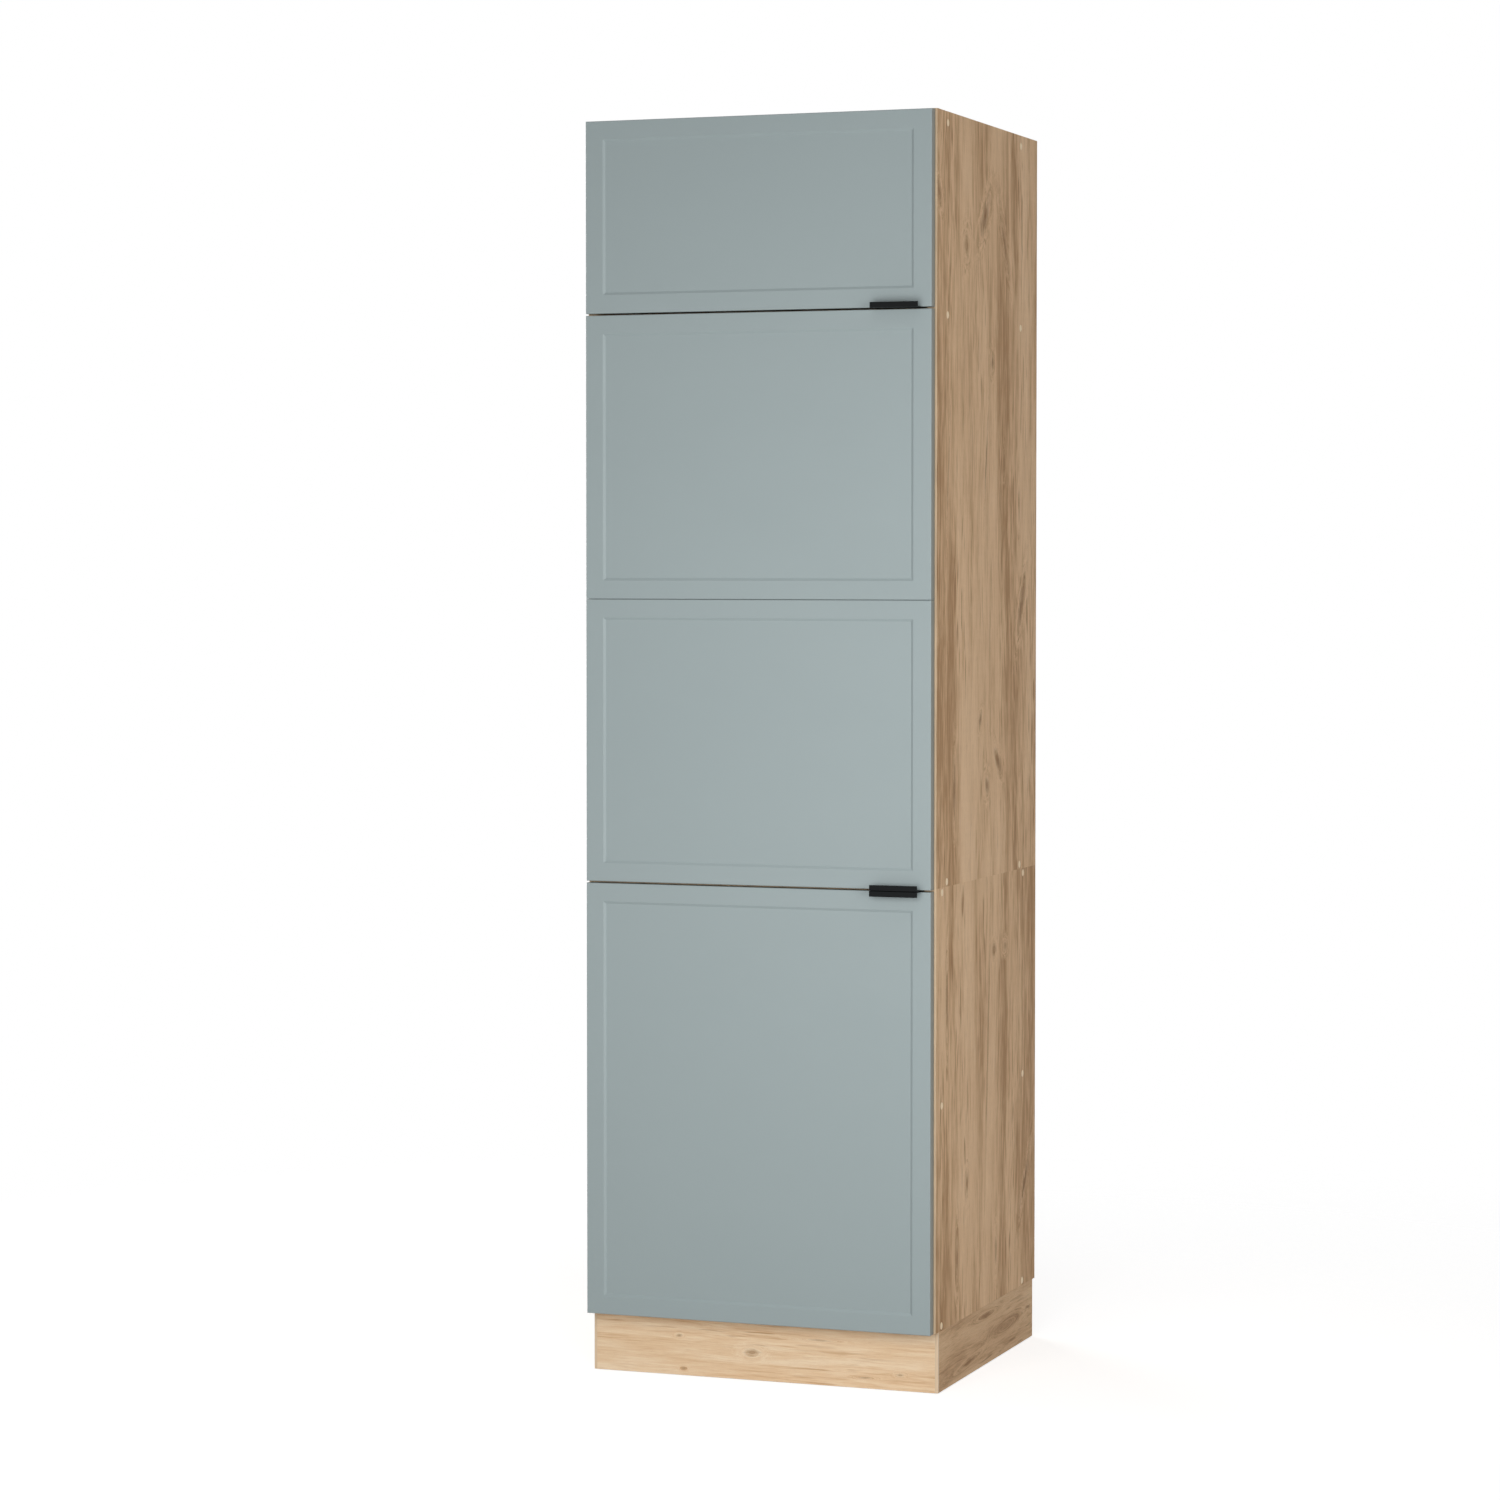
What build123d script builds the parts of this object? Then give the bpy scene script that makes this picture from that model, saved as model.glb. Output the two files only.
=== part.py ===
from build123d import *
import os

# Fridge housing unit: two stacked boxes on feet, three hinged doors, plinth and hardware.
# Millimetres, +Z up, the front looks towards -Y, and the origin is the middle of the footprint
# on the floor. The hinges are on the -X side and the pulls on the +X side.

# Carcass
cabinet_width = 600.0
side_depth = 560.0
board = 16.0
air_shaft_depth = 40.0
lower_board_setback = 4.0
lower_box_height = 716.0
lower_shelf_clear_height = 340.0
niche_height = 895.0
top_compartment_height = 291.0
top_board_drop = 10.0
back_panel_thickness = 3.0
back_panel_tongue = 6.0
back_panel_clearance = 0.2

# Assembly screws of the boards, and their cover caps
upper_screw_inset = 56.0
lower_screw_inset = 31.0
cap_radius = 6.0
cap_thickness = 1.0
screw_head_radius = 5.0
screw_head_height = 2.0
screw_radius = 3.0
screw_length = 46.0
fastener_clearance = 0.1

# Screws that join the two boxes
box_screw_side_inset = 60.0
box_screw_edge_inset = 90.0
box_screw_radius = 2.0
box_screw_head_radius = 4.0
box_screw_length = 28.0

# Feet and plinth
plinth_height = 100.0
plinth_board = 16.0
plinth_recess = 16.0
plinth_floor_gap = 1.0
plinth_top_gap = 0.5
plinth_side_inset = 1.0
plinth_back_stop = 10.0
corner_bead = 5.0
corner_bead_radius = 1.5
foot_side_inset = 62.0
front_foot_inset = 68.0
rear_foot_inset = 60.0
foot_flange_radius = 35.0
foot_flange_thickness = 3.0
foot_running_clearance = 0.05
foot_tube_wall = 2.95
foot_tube_length = 60.0
foot_gusset_height = 18.0
foot_gusset_thickness = 2.0
foot_gusset_edge = 3.0
foot_peg_radius = 5.0
foot_peg_length = 9.0
foot_peg_spacing = 44.0
foot_stem_radius = 13.0
foot_headroom = 12.0
foot_pad_radius = 27.0
foot_pad_height = 8.0
foot_pad_rim = 3.0
clip_clearance = 0.2
clip_wall = 2.0
clip_height = 14.0
clip_mouth = 26.0
clip_drop = 40.0
clip_web = 3.0
clip_plate_width = 36.0
clip_plate_height = 24.0
clip_plate_thickness = 2.5
clip_screw_spacing = 24.0
clip_screw_radius = 1.5
clip_screw_head_radius = 3.0
clip_screw_head_height = 1.5
clip_screw_length = 11.0

# Fronts
front_thickness = 18.0
door_gap = 2.0
side_reveal = 3.0
top_reveal = 2.0
front_joint = 3.0
panel_joint = 0.5
lower_front_drop = 4.0
middle_front_overlap = 14.5
frame_width = 30.0
frame_step_depth = 2.5
frame_step_angle = 58.0
front_edge_radius = 1.5
bumper_radius = 4.0
bumper_thickness = 1.7
bumper_edge_inset = 24.0

# Edge pulls
pull_length = 80.0
pull_inset = 17.0
pull_projection = 20.0
pull_sheet = 1.2
pull_lip_height = 9.0
pull_lip_thickness = 2.6
pull_lip_radius = 0.9
pull_leg_height = 22.0
pull_screw_spacing = 50.0
pull_screw_height = 13.0
pull_screw_radius = 1.5
pull_screw_length = 12.0

# Plates that join the two panels of the middle door
joining_plate_width = 40.0
joining_plate_height = 120.0
joining_plate_thickness = 1.2
joining_plate_spacing = 300.0
joining_screw_spacing_x = 20.0
joining_screw_spacing_z = 90.0
joining_screw_radius = 1.5
joining_screw_length = 13.0

# Concealed hinges. In their plan, u runs from the hinge side's inner face towards the opening
# and v from the side's front edge into the cabinet.
hinge_end_inset = 90.0
top_hinge_end_inset = 70.0
cup_radius = 17.5
cup_wall = 1.0
cup_depth = 13.0
cup_edge_distance = 4.0
cup_rim = 1.0
cup_hole_clearance = 0.1
cup_flange_thickness = 1.2
cup_wing_height = 56.0
cup_wing_width = 22.0
cup_wing_offset = 5.0
cup_wing_radius = 5.0
cup_screw_spacing = 45.0
cup_screw_offset = 9.5
cup_screw_radius = 1.5
cup_screw_length = 11.0
arm_pivot_outer = (15.5, 9.0)
arm_pivot_inner = (10.0, 4.0)
cup_pivot_outer = (-3.7, -5.3)
cup_pivot_inner = (-3.3, -10.2)
outer_link_hook = (3.7, -10.5)
inner_link_knee = (14.0, -4.0)
inner_link_heel = (8.5, -11.0)
link_half_width = 1.9
link_thickness = 2.0
link_eye_wall = 1.2
link_side_gap = 0.3
pivot_radius = 1.5
pivot_clearance = 0.05
pivot_overhang = 0.5
cup_pin_grip = 3.0
fork_play = 0.3
fork_travel = 2.1
fork_wall = 1.0
arm_half_thickness = 3.0
arm_boss_radius = 3.5
arm_nose_root = 24.0
arm_nose_depth = 8.0
arm_body_front = 17.0
arm_body_back = 56.0
arm_body_height = 12.9
arm_body_half_width = 8.0
arm_wall = 1.5
arm_seat_gap = 0.1
plate_centre = 37.0
plate_base_thickness = 2.0
plate_wing_height = 50.0
plate_wing_width = 14.0
plate_wing_radius = 4.0
plate_block_length = 24.0
plate_screw_spacing = 32.0
plate_screw_radius = 2.0
plate_screw_head_radius = 3.4
plate_screw_length = 12.0
lug_radius = 2.9

# Wall brackets
bracket_width = 20.0
bracket_sheet = 2.0
bracket_seat_length = 75.0
bracket_drop = 36.0
bracket_spacing = 400.0
bracket_wall_hole_radius = 3.0
bracket_wall_hole_drop = 22.0
bracket_slot_width = 5.0
bracket_slot_length = 16.0
bracket_slot_inset = 16.0
bracket_bend_radius = 2.0
bracket_screw_radius = 2.0
bracket_screw_head_radius = 4.0
bracket_screw_head_height = 2.0
bracket_screw_length = 14.0

# Places that follow from the sizes above
half_width = cabinet_width / 2
inner_half_width = half_width - board
overall_depth = pull_projection + front_thickness + door_gap + side_depth
door_face_y = pull_projection - overall_depth / 2
door_back_y = door_face_y + front_thickness
carcass_front_y = door_back_y + door_gap
carcass_back_y = carcass_front_y + side_depth
upper_board_depth = side_depth - air_shaft_depth
lower_board_depth = upper_board_depth - lower_board_setback
upper_back_y = carcass_front_y + upper_board_depth + back_panel_clearance
lower_back_y = carcass_front_y + lower_board_depth + back_panel_clearance

lower_z = plinth_height
lower_shelf_z = lower_z + board + lower_shelf_clear_height
joint_z = lower_z + lower_box_height
lower_top_z = joint_z - board
divider_z = joint_z + board + niche_height
upper_top_z = divider_z + board + top_compartment_height
top_z = upper_top_z + board + top_board_drop
upper_box_height = top_z - joint_z

door_half_width = half_width - side_reveal
lower_front_height = lower_box_height - lower_front_drop
middle_front_z = lower_z + lower_front_height + front_joint
middle_top_z = divider_z + middle_front_overlap
middle_panel_height = (middle_top_z - middle_front_z - panel_joint) / 2
middle_upper_z = middle_front_z + middle_panel_height + panel_joint
top_front_z = middle_top_z + front_joint
top_front_height = top_z - top_reveal - top_front_z

os.makedirs("parts", exist_ok=True)


def save(piece, name):
    """Label a finished sub-part and write it to its own file."""
    piece.part.label = name
    export_step(piece.part, f"parts/{name}.step")


def at_each(name, one, places):
    """Write a sub-part that repeats one piece at every place."""
    with BuildPart() as group:
        with Locations(*places):
            add(one.part)
    save(group, name)


def flat_screw(radius, head_radius, length):
    """A countersunk screw, its head's top at the origin and its point down."""
    with BuildPart() as screw:
        with BuildSketch(Plane.XZ):
            with BuildLine():
                Polyline(
                    (0, 0),
                    (head_radius, 0),
                    (radius, radius - head_radius),
                    (radius, -length + radius),
                    (0, -length),
                    close=True,
                )
            make_face()
        revolve(axis=Axis.Z)
    return screw


def round_screw(radius, head_radius, head_height, length):
    """A screw with a flat round head that stands on the surface at the origin, point down."""
    with BuildPart() as screw:
        with BuildSketch(Plane.XZ):
            with BuildLine():
                Polyline(
                    (0, head_height),
                    (head_radius, head_height),
                    (head_radius, 0),
                    (radius, 0),
                    (radius, -length + radius),
                    (0, -length),
                    close=True,
                )
            make_face()
        revolve(axis=Axis.Z)
    return screw


def drill(planes, radius, depth, sink_radius=0.0):
    """Drill into the piece under way at every plane, countersunk if a sink radius is given."""
    with Locations(*planes):
        if sink_radius:
            CounterSinkHole(radius, sink_radius, depth, counter_sink_angle=90)
        else:
            Hole(radius=radius, depth=depth)


# Carcass: every board is held by screws through the sides, in two columns.
upper_rows = [z + board / 2 for z in (joint_z, divider_z, upper_top_z)]
lower_rows = [z + board / 2 for z in (lower_z, lower_shelf_z, lower_top_z)]
upper_columns = [
    carcass_front_y + upper_screw_inset,
    carcass_front_y + upper_board_depth - upper_screw_inset,
]
lower_columns = [
    carcass_front_y + lower_screw_inset,
    carcass_front_y + lower_board_depth - lower_screw_inset,
]
head_seat_depth = cap_thickness + screw_head_height


def screw_seats(side, rows, columns):
    """Planes on the outer face of one side, facing outwards, one at each assembly screw."""
    return [
        Plane(origin=(side * half_width, y, z), z_dir=(side, 0, 0))
        for z in rows
        for y in columns
    ]


# Hinges: the middle door has one near each end and one above the joint of its panels.
top_hinge_rows = [
    top_front_z + top_hinge_end_inset,
    top_front_z + top_front_height - top_hinge_end_inset,
]
middle_hinge_rows = [
    middle_front_z + hinge_end_inset,
    middle_upper_z + hinge_end_inset,
    middle_top_z - hinge_end_inset,
]
lower_hinge_rows = [
    lower_z + hinge_end_inset,
    lower_z + lower_front_height - hinge_end_inset,
]


def hinge_places(rows):
    """Where the hinges' own plan stands at each row of the hinge side."""
    return [Location((-inner_half_width, carcass_front_y, z)) for z in rows]


def plate_screw_planes(rows):
    """Planes on the mounting plates, facing into the cabinet, one at each plate screw."""
    return [
        Plane(
            origin=(
                plate_base_thickness - inner_half_width,
                carcass_front_y + plate_centre,
                z + end * plate_screw_spacing / 2,
            ),
            z_dir=(1, 0, 0),
        )
        for z in rows
        for end in (-1, 1)
    ]


def make_side(name, side, base_z, height, rows, columns, back_y, back_base, back_height, hinges):
    """A side panel with its screw seats, its back panel groove and its hinge screw holes."""
    with BuildPart() as panel:
        with BuildSketch(Plane.YZ.offset(side * half_width)):
            with Locations((carcass_front_y + side_depth / 2, base_z + height / 2)):
                Rectangle(side_depth, height)
        extrude(amount=-side * board)
        with Locations(*screw_seats(side, rows, columns)):
            CounterBoreHole(
                radius=screw_radius + fastener_clearance,
                counter_bore_radius=cap_radius + fastener_clearance,
                counter_bore_depth=head_seat_depth,
                depth=board,
            )
        with BuildSketch(Plane.YZ.offset(side * inner_half_width)):
            with Locations((back_y + back_panel_thickness / 2, back_base + back_height / 2)):
                Rectangle(
                    back_panel_thickness + 2 * back_panel_clearance,
                    back_height + 2 * back_panel_clearance,
                )
        extrude(
            amount=side * (back_panel_tongue + back_panel_clearance),
            mode=Mode.SUBTRACT,
        )
        if hinges:
            with Locations(*plate_screw_planes(hinges)):
                Hole(
                    radius=plate_screw_radius + fastener_clearance,
                    depth=plate_screw_length + fastener_clearance,
                )
    save(panel, name)


def make_board(name, base_z, depth, columns, planes=(), radius=0.0, deep=0.0, sink_radius=0.0):
    """A level board between the sides, with pilot holes in its ends and holes in its faces."""
    with BuildPart() as panel:
        with BuildSketch(Plane.XY.offset(base_z)):
            with Locations((0, carcass_front_y + depth / 2)):
                Rectangle(2 * inner_half_width, depth)
        extrude(amount=board)
        for side in (-1, 1):
            with Locations(*screw_seats(side, [base_z + board / 2], columns)):
                Hole(
                    radius=screw_radius + fastener_clearance,
                    depth=cap_thickness + screw_head_height + screw_length + fastener_clearance,
                )
        if planes:
            drill(planes, radius, deep, sink_radius)
    save(panel, name)


def make_back(name, base_z, height, back_y):
    """A thin back panel whose tongues lie in the grooves of the sides."""
    with BuildPart() as panel:
        with BuildSketch(Plane.XY.offset(base_z)):
            with Locations((0, back_y + back_panel_thickness / 2)):
                Rectangle(2 * (inner_half_width + back_panel_tongue), back_panel_thickness)
        extrude(amount=height)
    save(panel, name)


lower_back_height = lower_box_height - 2 * back_panel_clearance
upper_back_height = upper_top_z + board - divider_z
for side, word in ((-1, "left"), (1, "right")):
    make_side(
        f"lower_side_{word}",
        side,
        lower_z,
        lower_box_height,
        lower_rows,
        lower_columns,
        lower_back_y,
        lower_z + back_panel_clearance,
        lower_back_height,
        lower_hinge_rows if side < 0 else [],
    )
    make_side(
        f"upper_side_{word}",
        side,
        joint_z,
        upper_box_height,
        upper_rows,
        upper_columns,
        upper_back_y,
        divider_z,
        upper_back_height,
        middle_hinge_rows + top_hinge_rows if side < 0 else [],
    )

foot_centres = [
    (side * (half_width - foot_side_inset), y)
    for y in (
        carcass_front_y + front_foot_inset,
        carcass_front_y + lower_board_depth - rear_foot_inset,
    )
    for side in (-1, 1)
]
peg_planes = [
    Plane(origin=(x + end * foot_peg_spacing / 2, y, lower_z), z_dir=(0, 0, -1))
    for x, y in foot_centres
    for end in (-1, 1)
]
box_screw_centres = [
    (side * (inner_half_width - box_screw_side_inset), y)
    for y in (
        carcass_front_y + box_screw_edge_inset,
        carcass_front_y + lower_board_depth - box_screw_edge_inset,
    )
    for side in (-1, 1)
]
box_screw_planes = [
    Plane(origin=(x, y, lower_top_z), z_dir=(0, 0, -1)) for x, y in box_screw_centres
]
bracket_board_y = carcass_front_y + upper_board_depth - bracket_slot_inset
bracket_screw_planes = [
    Plane(
        origin=(side * bracket_spacing / 2, bracket_board_y, upper_top_z + board + bracket_sheet),
        z_dir=(0, 0, 1),
    )
    for side in (-1, 1)
]
make_board(
    "lower_bottom_board",
    lower_z,
    lower_board_depth,
    lower_columns,
    peg_planes,
    foot_peg_radius + fastener_clearance,
    foot_peg_length + fastener_clearance,
)
make_board("lower_shelf", lower_shelf_z, lower_board_depth, lower_columns)
make_board(
    "lower_top_board",
    lower_top_z,
    lower_board_depth,
    lower_columns,
    box_screw_planes,
    box_screw_radius + fastener_clearance,
    board,
    box_screw_head_radius + fastener_clearance,
)
make_board(
    "niche_floor_board",
    joint_z,
    upper_board_depth,
    upper_columns,
    box_screw_planes,
    box_screw_radius + fastener_clearance,
    box_screw_length + fastener_clearance,
)
make_board("dividing_board", divider_z, upper_board_depth, upper_columns)
make_board(
    "upper_top_board",
    upper_top_z,
    upper_board_depth,
    upper_columns,
    bracket_screw_planes,
    bracket_screw_radius + fastener_clearance,
    bracket_screw_length + fastener_clearance,
)
make_back("lower_back_panel", lower_z + back_panel_clearance, lower_back_height, lower_back_y)
make_back("upper_back_panel", divider_z, upper_back_height, upper_back_y)

# Screws of the boards and their caps stand in the counterbores of the sides.
seats = [
    seat
    for side in (-1, 1)
    for rows, columns in ((lower_rows, lower_columns), (upper_rows, upper_columns))
    for seat in screw_seats(side, rows, columns)
]
with BuildPart() as cap:
    with BuildSketch(Plane.XY):
        Circle(cap_radius)
    extrude(amount=-cap_thickness)
at_each("cover_caps", cap, seats)
at_each(
    "assembly_screws",
    round_screw(screw_radius, screw_head_radius, screw_head_height, screw_length),
    [seat.offset(-head_seat_depth) for seat in seats],
)
at_each(
    "box_joining_screws",
    flat_screw(box_screw_radius, box_screw_head_radius, box_screw_length),
    box_screw_planes,
)

# Feet: a socket under the bottom board and a threaded leg in each.
foot_bore_radius = foot_stem_radius + foot_running_clearance
foot_tube_radius = foot_bore_radius + foot_tube_wall
foot_flange_z = lower_z - foot_flange_thickness
with BuildPart() as socket:
    with BuildSketch(Plane.XY.offset(lower_z)):
        Circle(foot_flange_radius)
    extrude(amount=-foot_flange_thickness)
    with BuildSketch(Plane.XY.offset(foot_flange_z)):
        Circle(foot_tube_radius)
    extrude(amount=-foot_tube_length)
    with BuildSketch(Plane.XZ):
        with BuildLine():
            Polyline(
                (foot_bore_radius, foot_flange_z),
                (foot_flange_radius - foot_gusset_edge, foot_flange_z),
                (foot_bore_radius, foot_flange_z - foot_gusset_height),
                close=True,
            )
        make_face()
        mirror(about=Plane.YZ)
    extrude(amount=foot_gusset_thickness / 2, both=True)
    with BuildSketch(Plane.XY.offset(lower_z)):
        Circle(foot_bore_radius)
    extrude(amount=-(foot_flange_thickness + foot_tube_length), mode=Mode.SUBTRACT)
    with BuildSketch(Plane.XY.offset(lower_z)):
        with GridLocations(foot_peg_spacing, 0, 2, 1):
            Circle(foot_peg_radius)
    extrude(amount=foot_peg_length)
at_each("foot_sockets", socket, [Location((x, y, 0)) for x, y in foot_centres])

with BuildPart() as leg:
    with BuildSketch(Plane.XZ):
        with BuildLine():
            Polyline(
                (0, 0),
                (foot_pad_radius, 0),
                (foot_pad_radius, foot_pad_rim),
                (foot_stem_radius, foot_pad_height),
                (foot_stem_radius, lower_z - foot_headroom),
                (0, lower_z - foot_headroom),
                close=True,
            )
        make_face()
    revolve(axis=Axis.Z)
for (x, y), word in zip(foot_centres, ("front_left", "front_right", "rear_left", "rear_right")):
    at_each(f"foot_leg_{word}", leg, [Location((x, y, 0))])

# Plinth: boards mitred behind a bead at each corner, held by clips on the feet.
plinth_front_y = carcass_front_y + plinth_recess
plinth_back_y = carcass_back_y - plinth_back_stop
plinth_half_width = half_width - plinth_side_inset
plinth_inner_x = plinth_half_width - plinth_board
plinth_inner_y = plinth_front_y + plinth_board
bead_inner_x = plinth_half_width - corner_bead
bead_inner_y = plinth_front_y + corner_bead
plinth_top_z = plinth_height - plinth_top_gap
clip_z = lower_z - clip_drop


def clip_screw_planes(plane):
    """Planes on a clip's plate, one at each of its screws, from the plane at its middle."""
    return [
        plane.shift_origin(plane.origin + plane.x_dir * (end * clip_screw_spacing / 2))
        for end in (-1, 1)
    ]


front_clip_planes = [
    Plane(
        origin=(x, plinth_inner_y + clip_plate_thickness, clip_z),
        x_dir=(1, 0, 0),
        z_dir=(0, 1, 0),
    )
    for x, y in foot_centres[:2]
]
side_clip_planes = [
    Plane(
        origin=(side * (plinth_inner_x - clip_plate_thickness), foot_centres[2][1], clip_z),
        x_dir=(0, 1, 0),
        z_dir=(-side, 0, 0),
    )
    for side in (-1, 1)
]


def make_plinth(name, corners, planes):
    """An upright plinth board from its plan, with pilot holes for the screws of its clips."""
    with BuildPart() as panel:
        with BuildSketch(Plane.XY.offset(plinth_floor_gap)):
            with BuildLine():
                Polyline(*corners, close=True)
            make_face()
        extrude(amount=plinth_top_z - plinth_floor_gap)
        for plane in planes:
            drill(
                clip_screw_planes(plane),
                clip_screw_radius + fastener_clearance,
                clip_screw_length + fastener_clearance,
            )
    save(panel, name)


make_plinth(
    "plinth_front",
    [
        (-bead_inner_x, plinth_front_y),
        (bead_inner_x, plinth_front_y),
        (bead_inner_x, bead_inner_y),
        (plinth_inner_x, plinth_inner_y),
        (-plinth_inner_x, plinth_inner_y),
        (-bead_inner_x, bead_inner_y),
    ],
    front_clip_planes,
)
for side, word, planes in ((-1, "left", side_clip_planes[:1]), (1, "right", side_clip_planes[1:])):
    make_plinth(
        f"plinth_side_{word}",
        [
            (side * plinth_half_width, bead_inner_y),
            (side * plinth_half_width, plinth_back_y),
            (side * plinth_inner_x, plinth_back_y),
            (side * plinth_inner_x, plinth_inner_y),
            (side * bead_inner_x, bead_inner_y),
        ],
        planes,
    )

with BuildPart() as beads:
    for side in (-1, 1):
        with BuildSketch(Plane.XY.offset(plinth_floor_gap)) as bead:
            with Locations(
                (side * (bead_inner_x + corner_bead / 2), plinth_front_y + corner_bead / 2)
            ):
                Rectangle(corner_bead, corner_bead)
            fillet(
                bead.vertices().sort_by(Axis.Y)[:2].sort_by(Axis.X)[max(side, 0)],
                corner_bead_radius,
            )
        extrude(amount=plinth_top_z - plinth_floor_gap)
save(beads, "plinth_corner_beads")


def make_clip(reach):
    """A clip at the origin whose plate stands at the given reach along +X from the foot."""
    inner_radius = foot_tube_radius + clip_clearance
    with BuildPart() as clip:
        with BuildSketch(Plane.XY):
            Circle(inner_radius + clip_wall)
            with Locations(((inner_radius + reach) / 2, 0)):
                Rectangle(reach - inner_radius, clip_web)
            Circle(inner_radius, mode=Mode.SUBTRACT)
            with Locations((-inner_radius, 0)):
                Rectangle(2 * inner_radius, clip_mouth, mode=Mode.SUBTRACT)
        extrude(amount=clip_height / 2, both=True)
        with BuildSketch(Plane.YZ.offset(reach - clip_plate_thickness)):
            Rectangle(clip_plate_width, clip_plate_height)
        extrude(amount=clip_plate_thickness)
        with Locations(Plane.YZ.offset(reach - clip_plate_thickness)):
            with GridLocations(clip_screw_spacing, 0, 2, 1):
                Hole(clip_screw_radius + fastener_clearance, clip_plate_thickness)
    return clip


front_clip = make_clip(foot_centres[0][1] - plinth_inner_y)
side_clip = make_clip(plinth_inner_x - foot_centres[3][0])
with BuildPart() as clips:
    with Locations(*[Location((x, y, clip_z), (0, 0, -90)) for x, y in foot_centres[:2]]):
        add(front_clip.part)
    with Locations(
        Location((*foot_centres[2], clip_z), (0, 0, 180)),
        Location((*foot_centres[3], clip_z)),
    ):
        add(side_clip.part)
save(clips, "plinth_clips")
at_each(
    "plinth_clip_screws",
    round_screw(
        clip_screw_radius,
        clip_screw_head_radius,
        clip_screw_head_height,
        clip_screw_length,
    ),
    [place for plane in front_clip_planes + side_clip_planes for place in clip_screw_planes(plane)],
)

# Wall brackets on the top board reach back over the air shaft to the wall.
bracket_top_z = upper_top_z + board + bracket_sheet
with BuildPart() as bracket:
    with BuildSketch(Plane.YZ):
        with BuildLine():
            Polyline(
                (carcass_back_y - bracket_seat_length, bracket_top_z),
                (carcass_back_y, bracket_top_z),
                (carcass_back_y, bracket_top_z - bracket_drop),
                (carcass_back_y - bracket_sheet, bracket_top_z - bracket_drop),
                (carcass_back_y - bracket_sheet, bracket_top_z - bracket_sheet),
                (carcass_back_y - bracket_seat_length, bracket_top_z - bracket_sheet),
                close=True,
            )
        make_face()
    extrude(amount=bracket_width / 2, both=True)
    fillet(
        bracket.edges().filter_by(Axis.X).group_by(Axis.Y)[-1].sort_by(Axis.Z)[-1:],
        bracket_bend_radius,
    )
    with BuildSketch(Plane.XY.offset(bracket_top_z)):
        with Locations((0, bracket_board_y)):
            SlotOverall(bracket_slot_length, bracket_slot_width, rotation=90)
    extrude(amount=-bracket_sheet, mode=Mode.SUBTRACT)
    with Locations(
        Plane(
            origin=(0, carcass_back_y - bracket_sheet, bracket_top_z - bracket_wall_hole_drop),
            z_dir=(0, -1, 0),
        )
    ):
        Hole(bracket_wall_hole_radius, bracket_sheet)
at_each(
    "wall_brackets", bracket, [Location((side * bracket_spacing / 2, 0, 0)) for side in (-1, 1)]
)
at_each(
    "wall_bracket_screws",
    round_screw(
        bracket_screw_radius,
        bracket_screw_head_radius,
        bracket_screw_head_height,
        bracket_screw_length,
    ),
    bracket_screw_planes,
)

# Hinges, each built in its own plan at the origin.
door_edge_u = side_reveal - board
door_back_v = -door_gap
cup_u = door_edge_u + cup_edge_distance + cup_radius
cup_face_v = door_back_v + cup_flange_thickness
cup_bottom_v = door_back_v - cup_depth
link_z = arm_half_thickness + link_side_gap
lug_z = link_z + link_thickness + link_side_gap
bore_radius = pivot_radius + pivot_clearance
eye_radius = bore_radius + link_eye_wall
arm_underside_u = plate_base_thickness + arm_seat_gap
arm_top_u = arm_underside_u + arm_body_height


def link_band(points):
    """The outline of a link along its centre points, added to the sketch under way."""
    with BuildLine() as centre:
        Polyline(*points)
    trace(centre.line, line_width=2 * link_half_width)
    with Locations(*points):
        Circle(link_half_width)


with BuildPart() as outer_link:
    with BuildSketch(Plane.XY.offset(link_z)):
        link_band([arm_pivot_outer, outer_link_hook, cup_pivot_outer])
        with Locations(arm_pivot_outer, cup_pivot_outer):
            Circle(eye_radius)
            Circle(bore_radius, mode=Mode.SUBTRACT)
    extrude(amount=link_thickness)

# The inner link's cup end is a fork: its pin slides along the line through both pivots.
fork_direction = Vector(*cup_pivot_inner) - Vector(*arm_pivot_inner)
fork_angle = Vector(1, 0).get_signed_angle(fork_direction, Vector(0, 0, 1))
fork_slot_radius = pivot_radius + fork_play
fork_radius = fork_slot_radius + fork_wall
with BuildPart() as inner_link:
    with BuildSketch(Plane.XY.offset(-link_z)):
        link_band([arm_pivot_inner, inner_link_knee, inner_link_heel, cup_pivot_inner])
        with Locations(arm_pivot_inner):
            Circle(eye_radius)
            Circle(bore_radius, mode=Mode.SUBTRACT)
        with Locations(Location((*cup_pivot_inner, 0), (0, 0, fork_angle))):
            Circle(fork_radius)
            Rectangle(fork_travel, 2 * fork_radius, align=(Align.MIN, Align.CENTER))
            Circle(fork_slot_radius, mode=Mode.SUBTRACT)
            Rectangle(
                2 * fork_travel,
                2 * fork_slot_radius,
                align=(Align.MIN, Align.CENTER),
                mode=Mode.SUBTRACT,
            )
    extrude(amount=-link_thickness)

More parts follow.
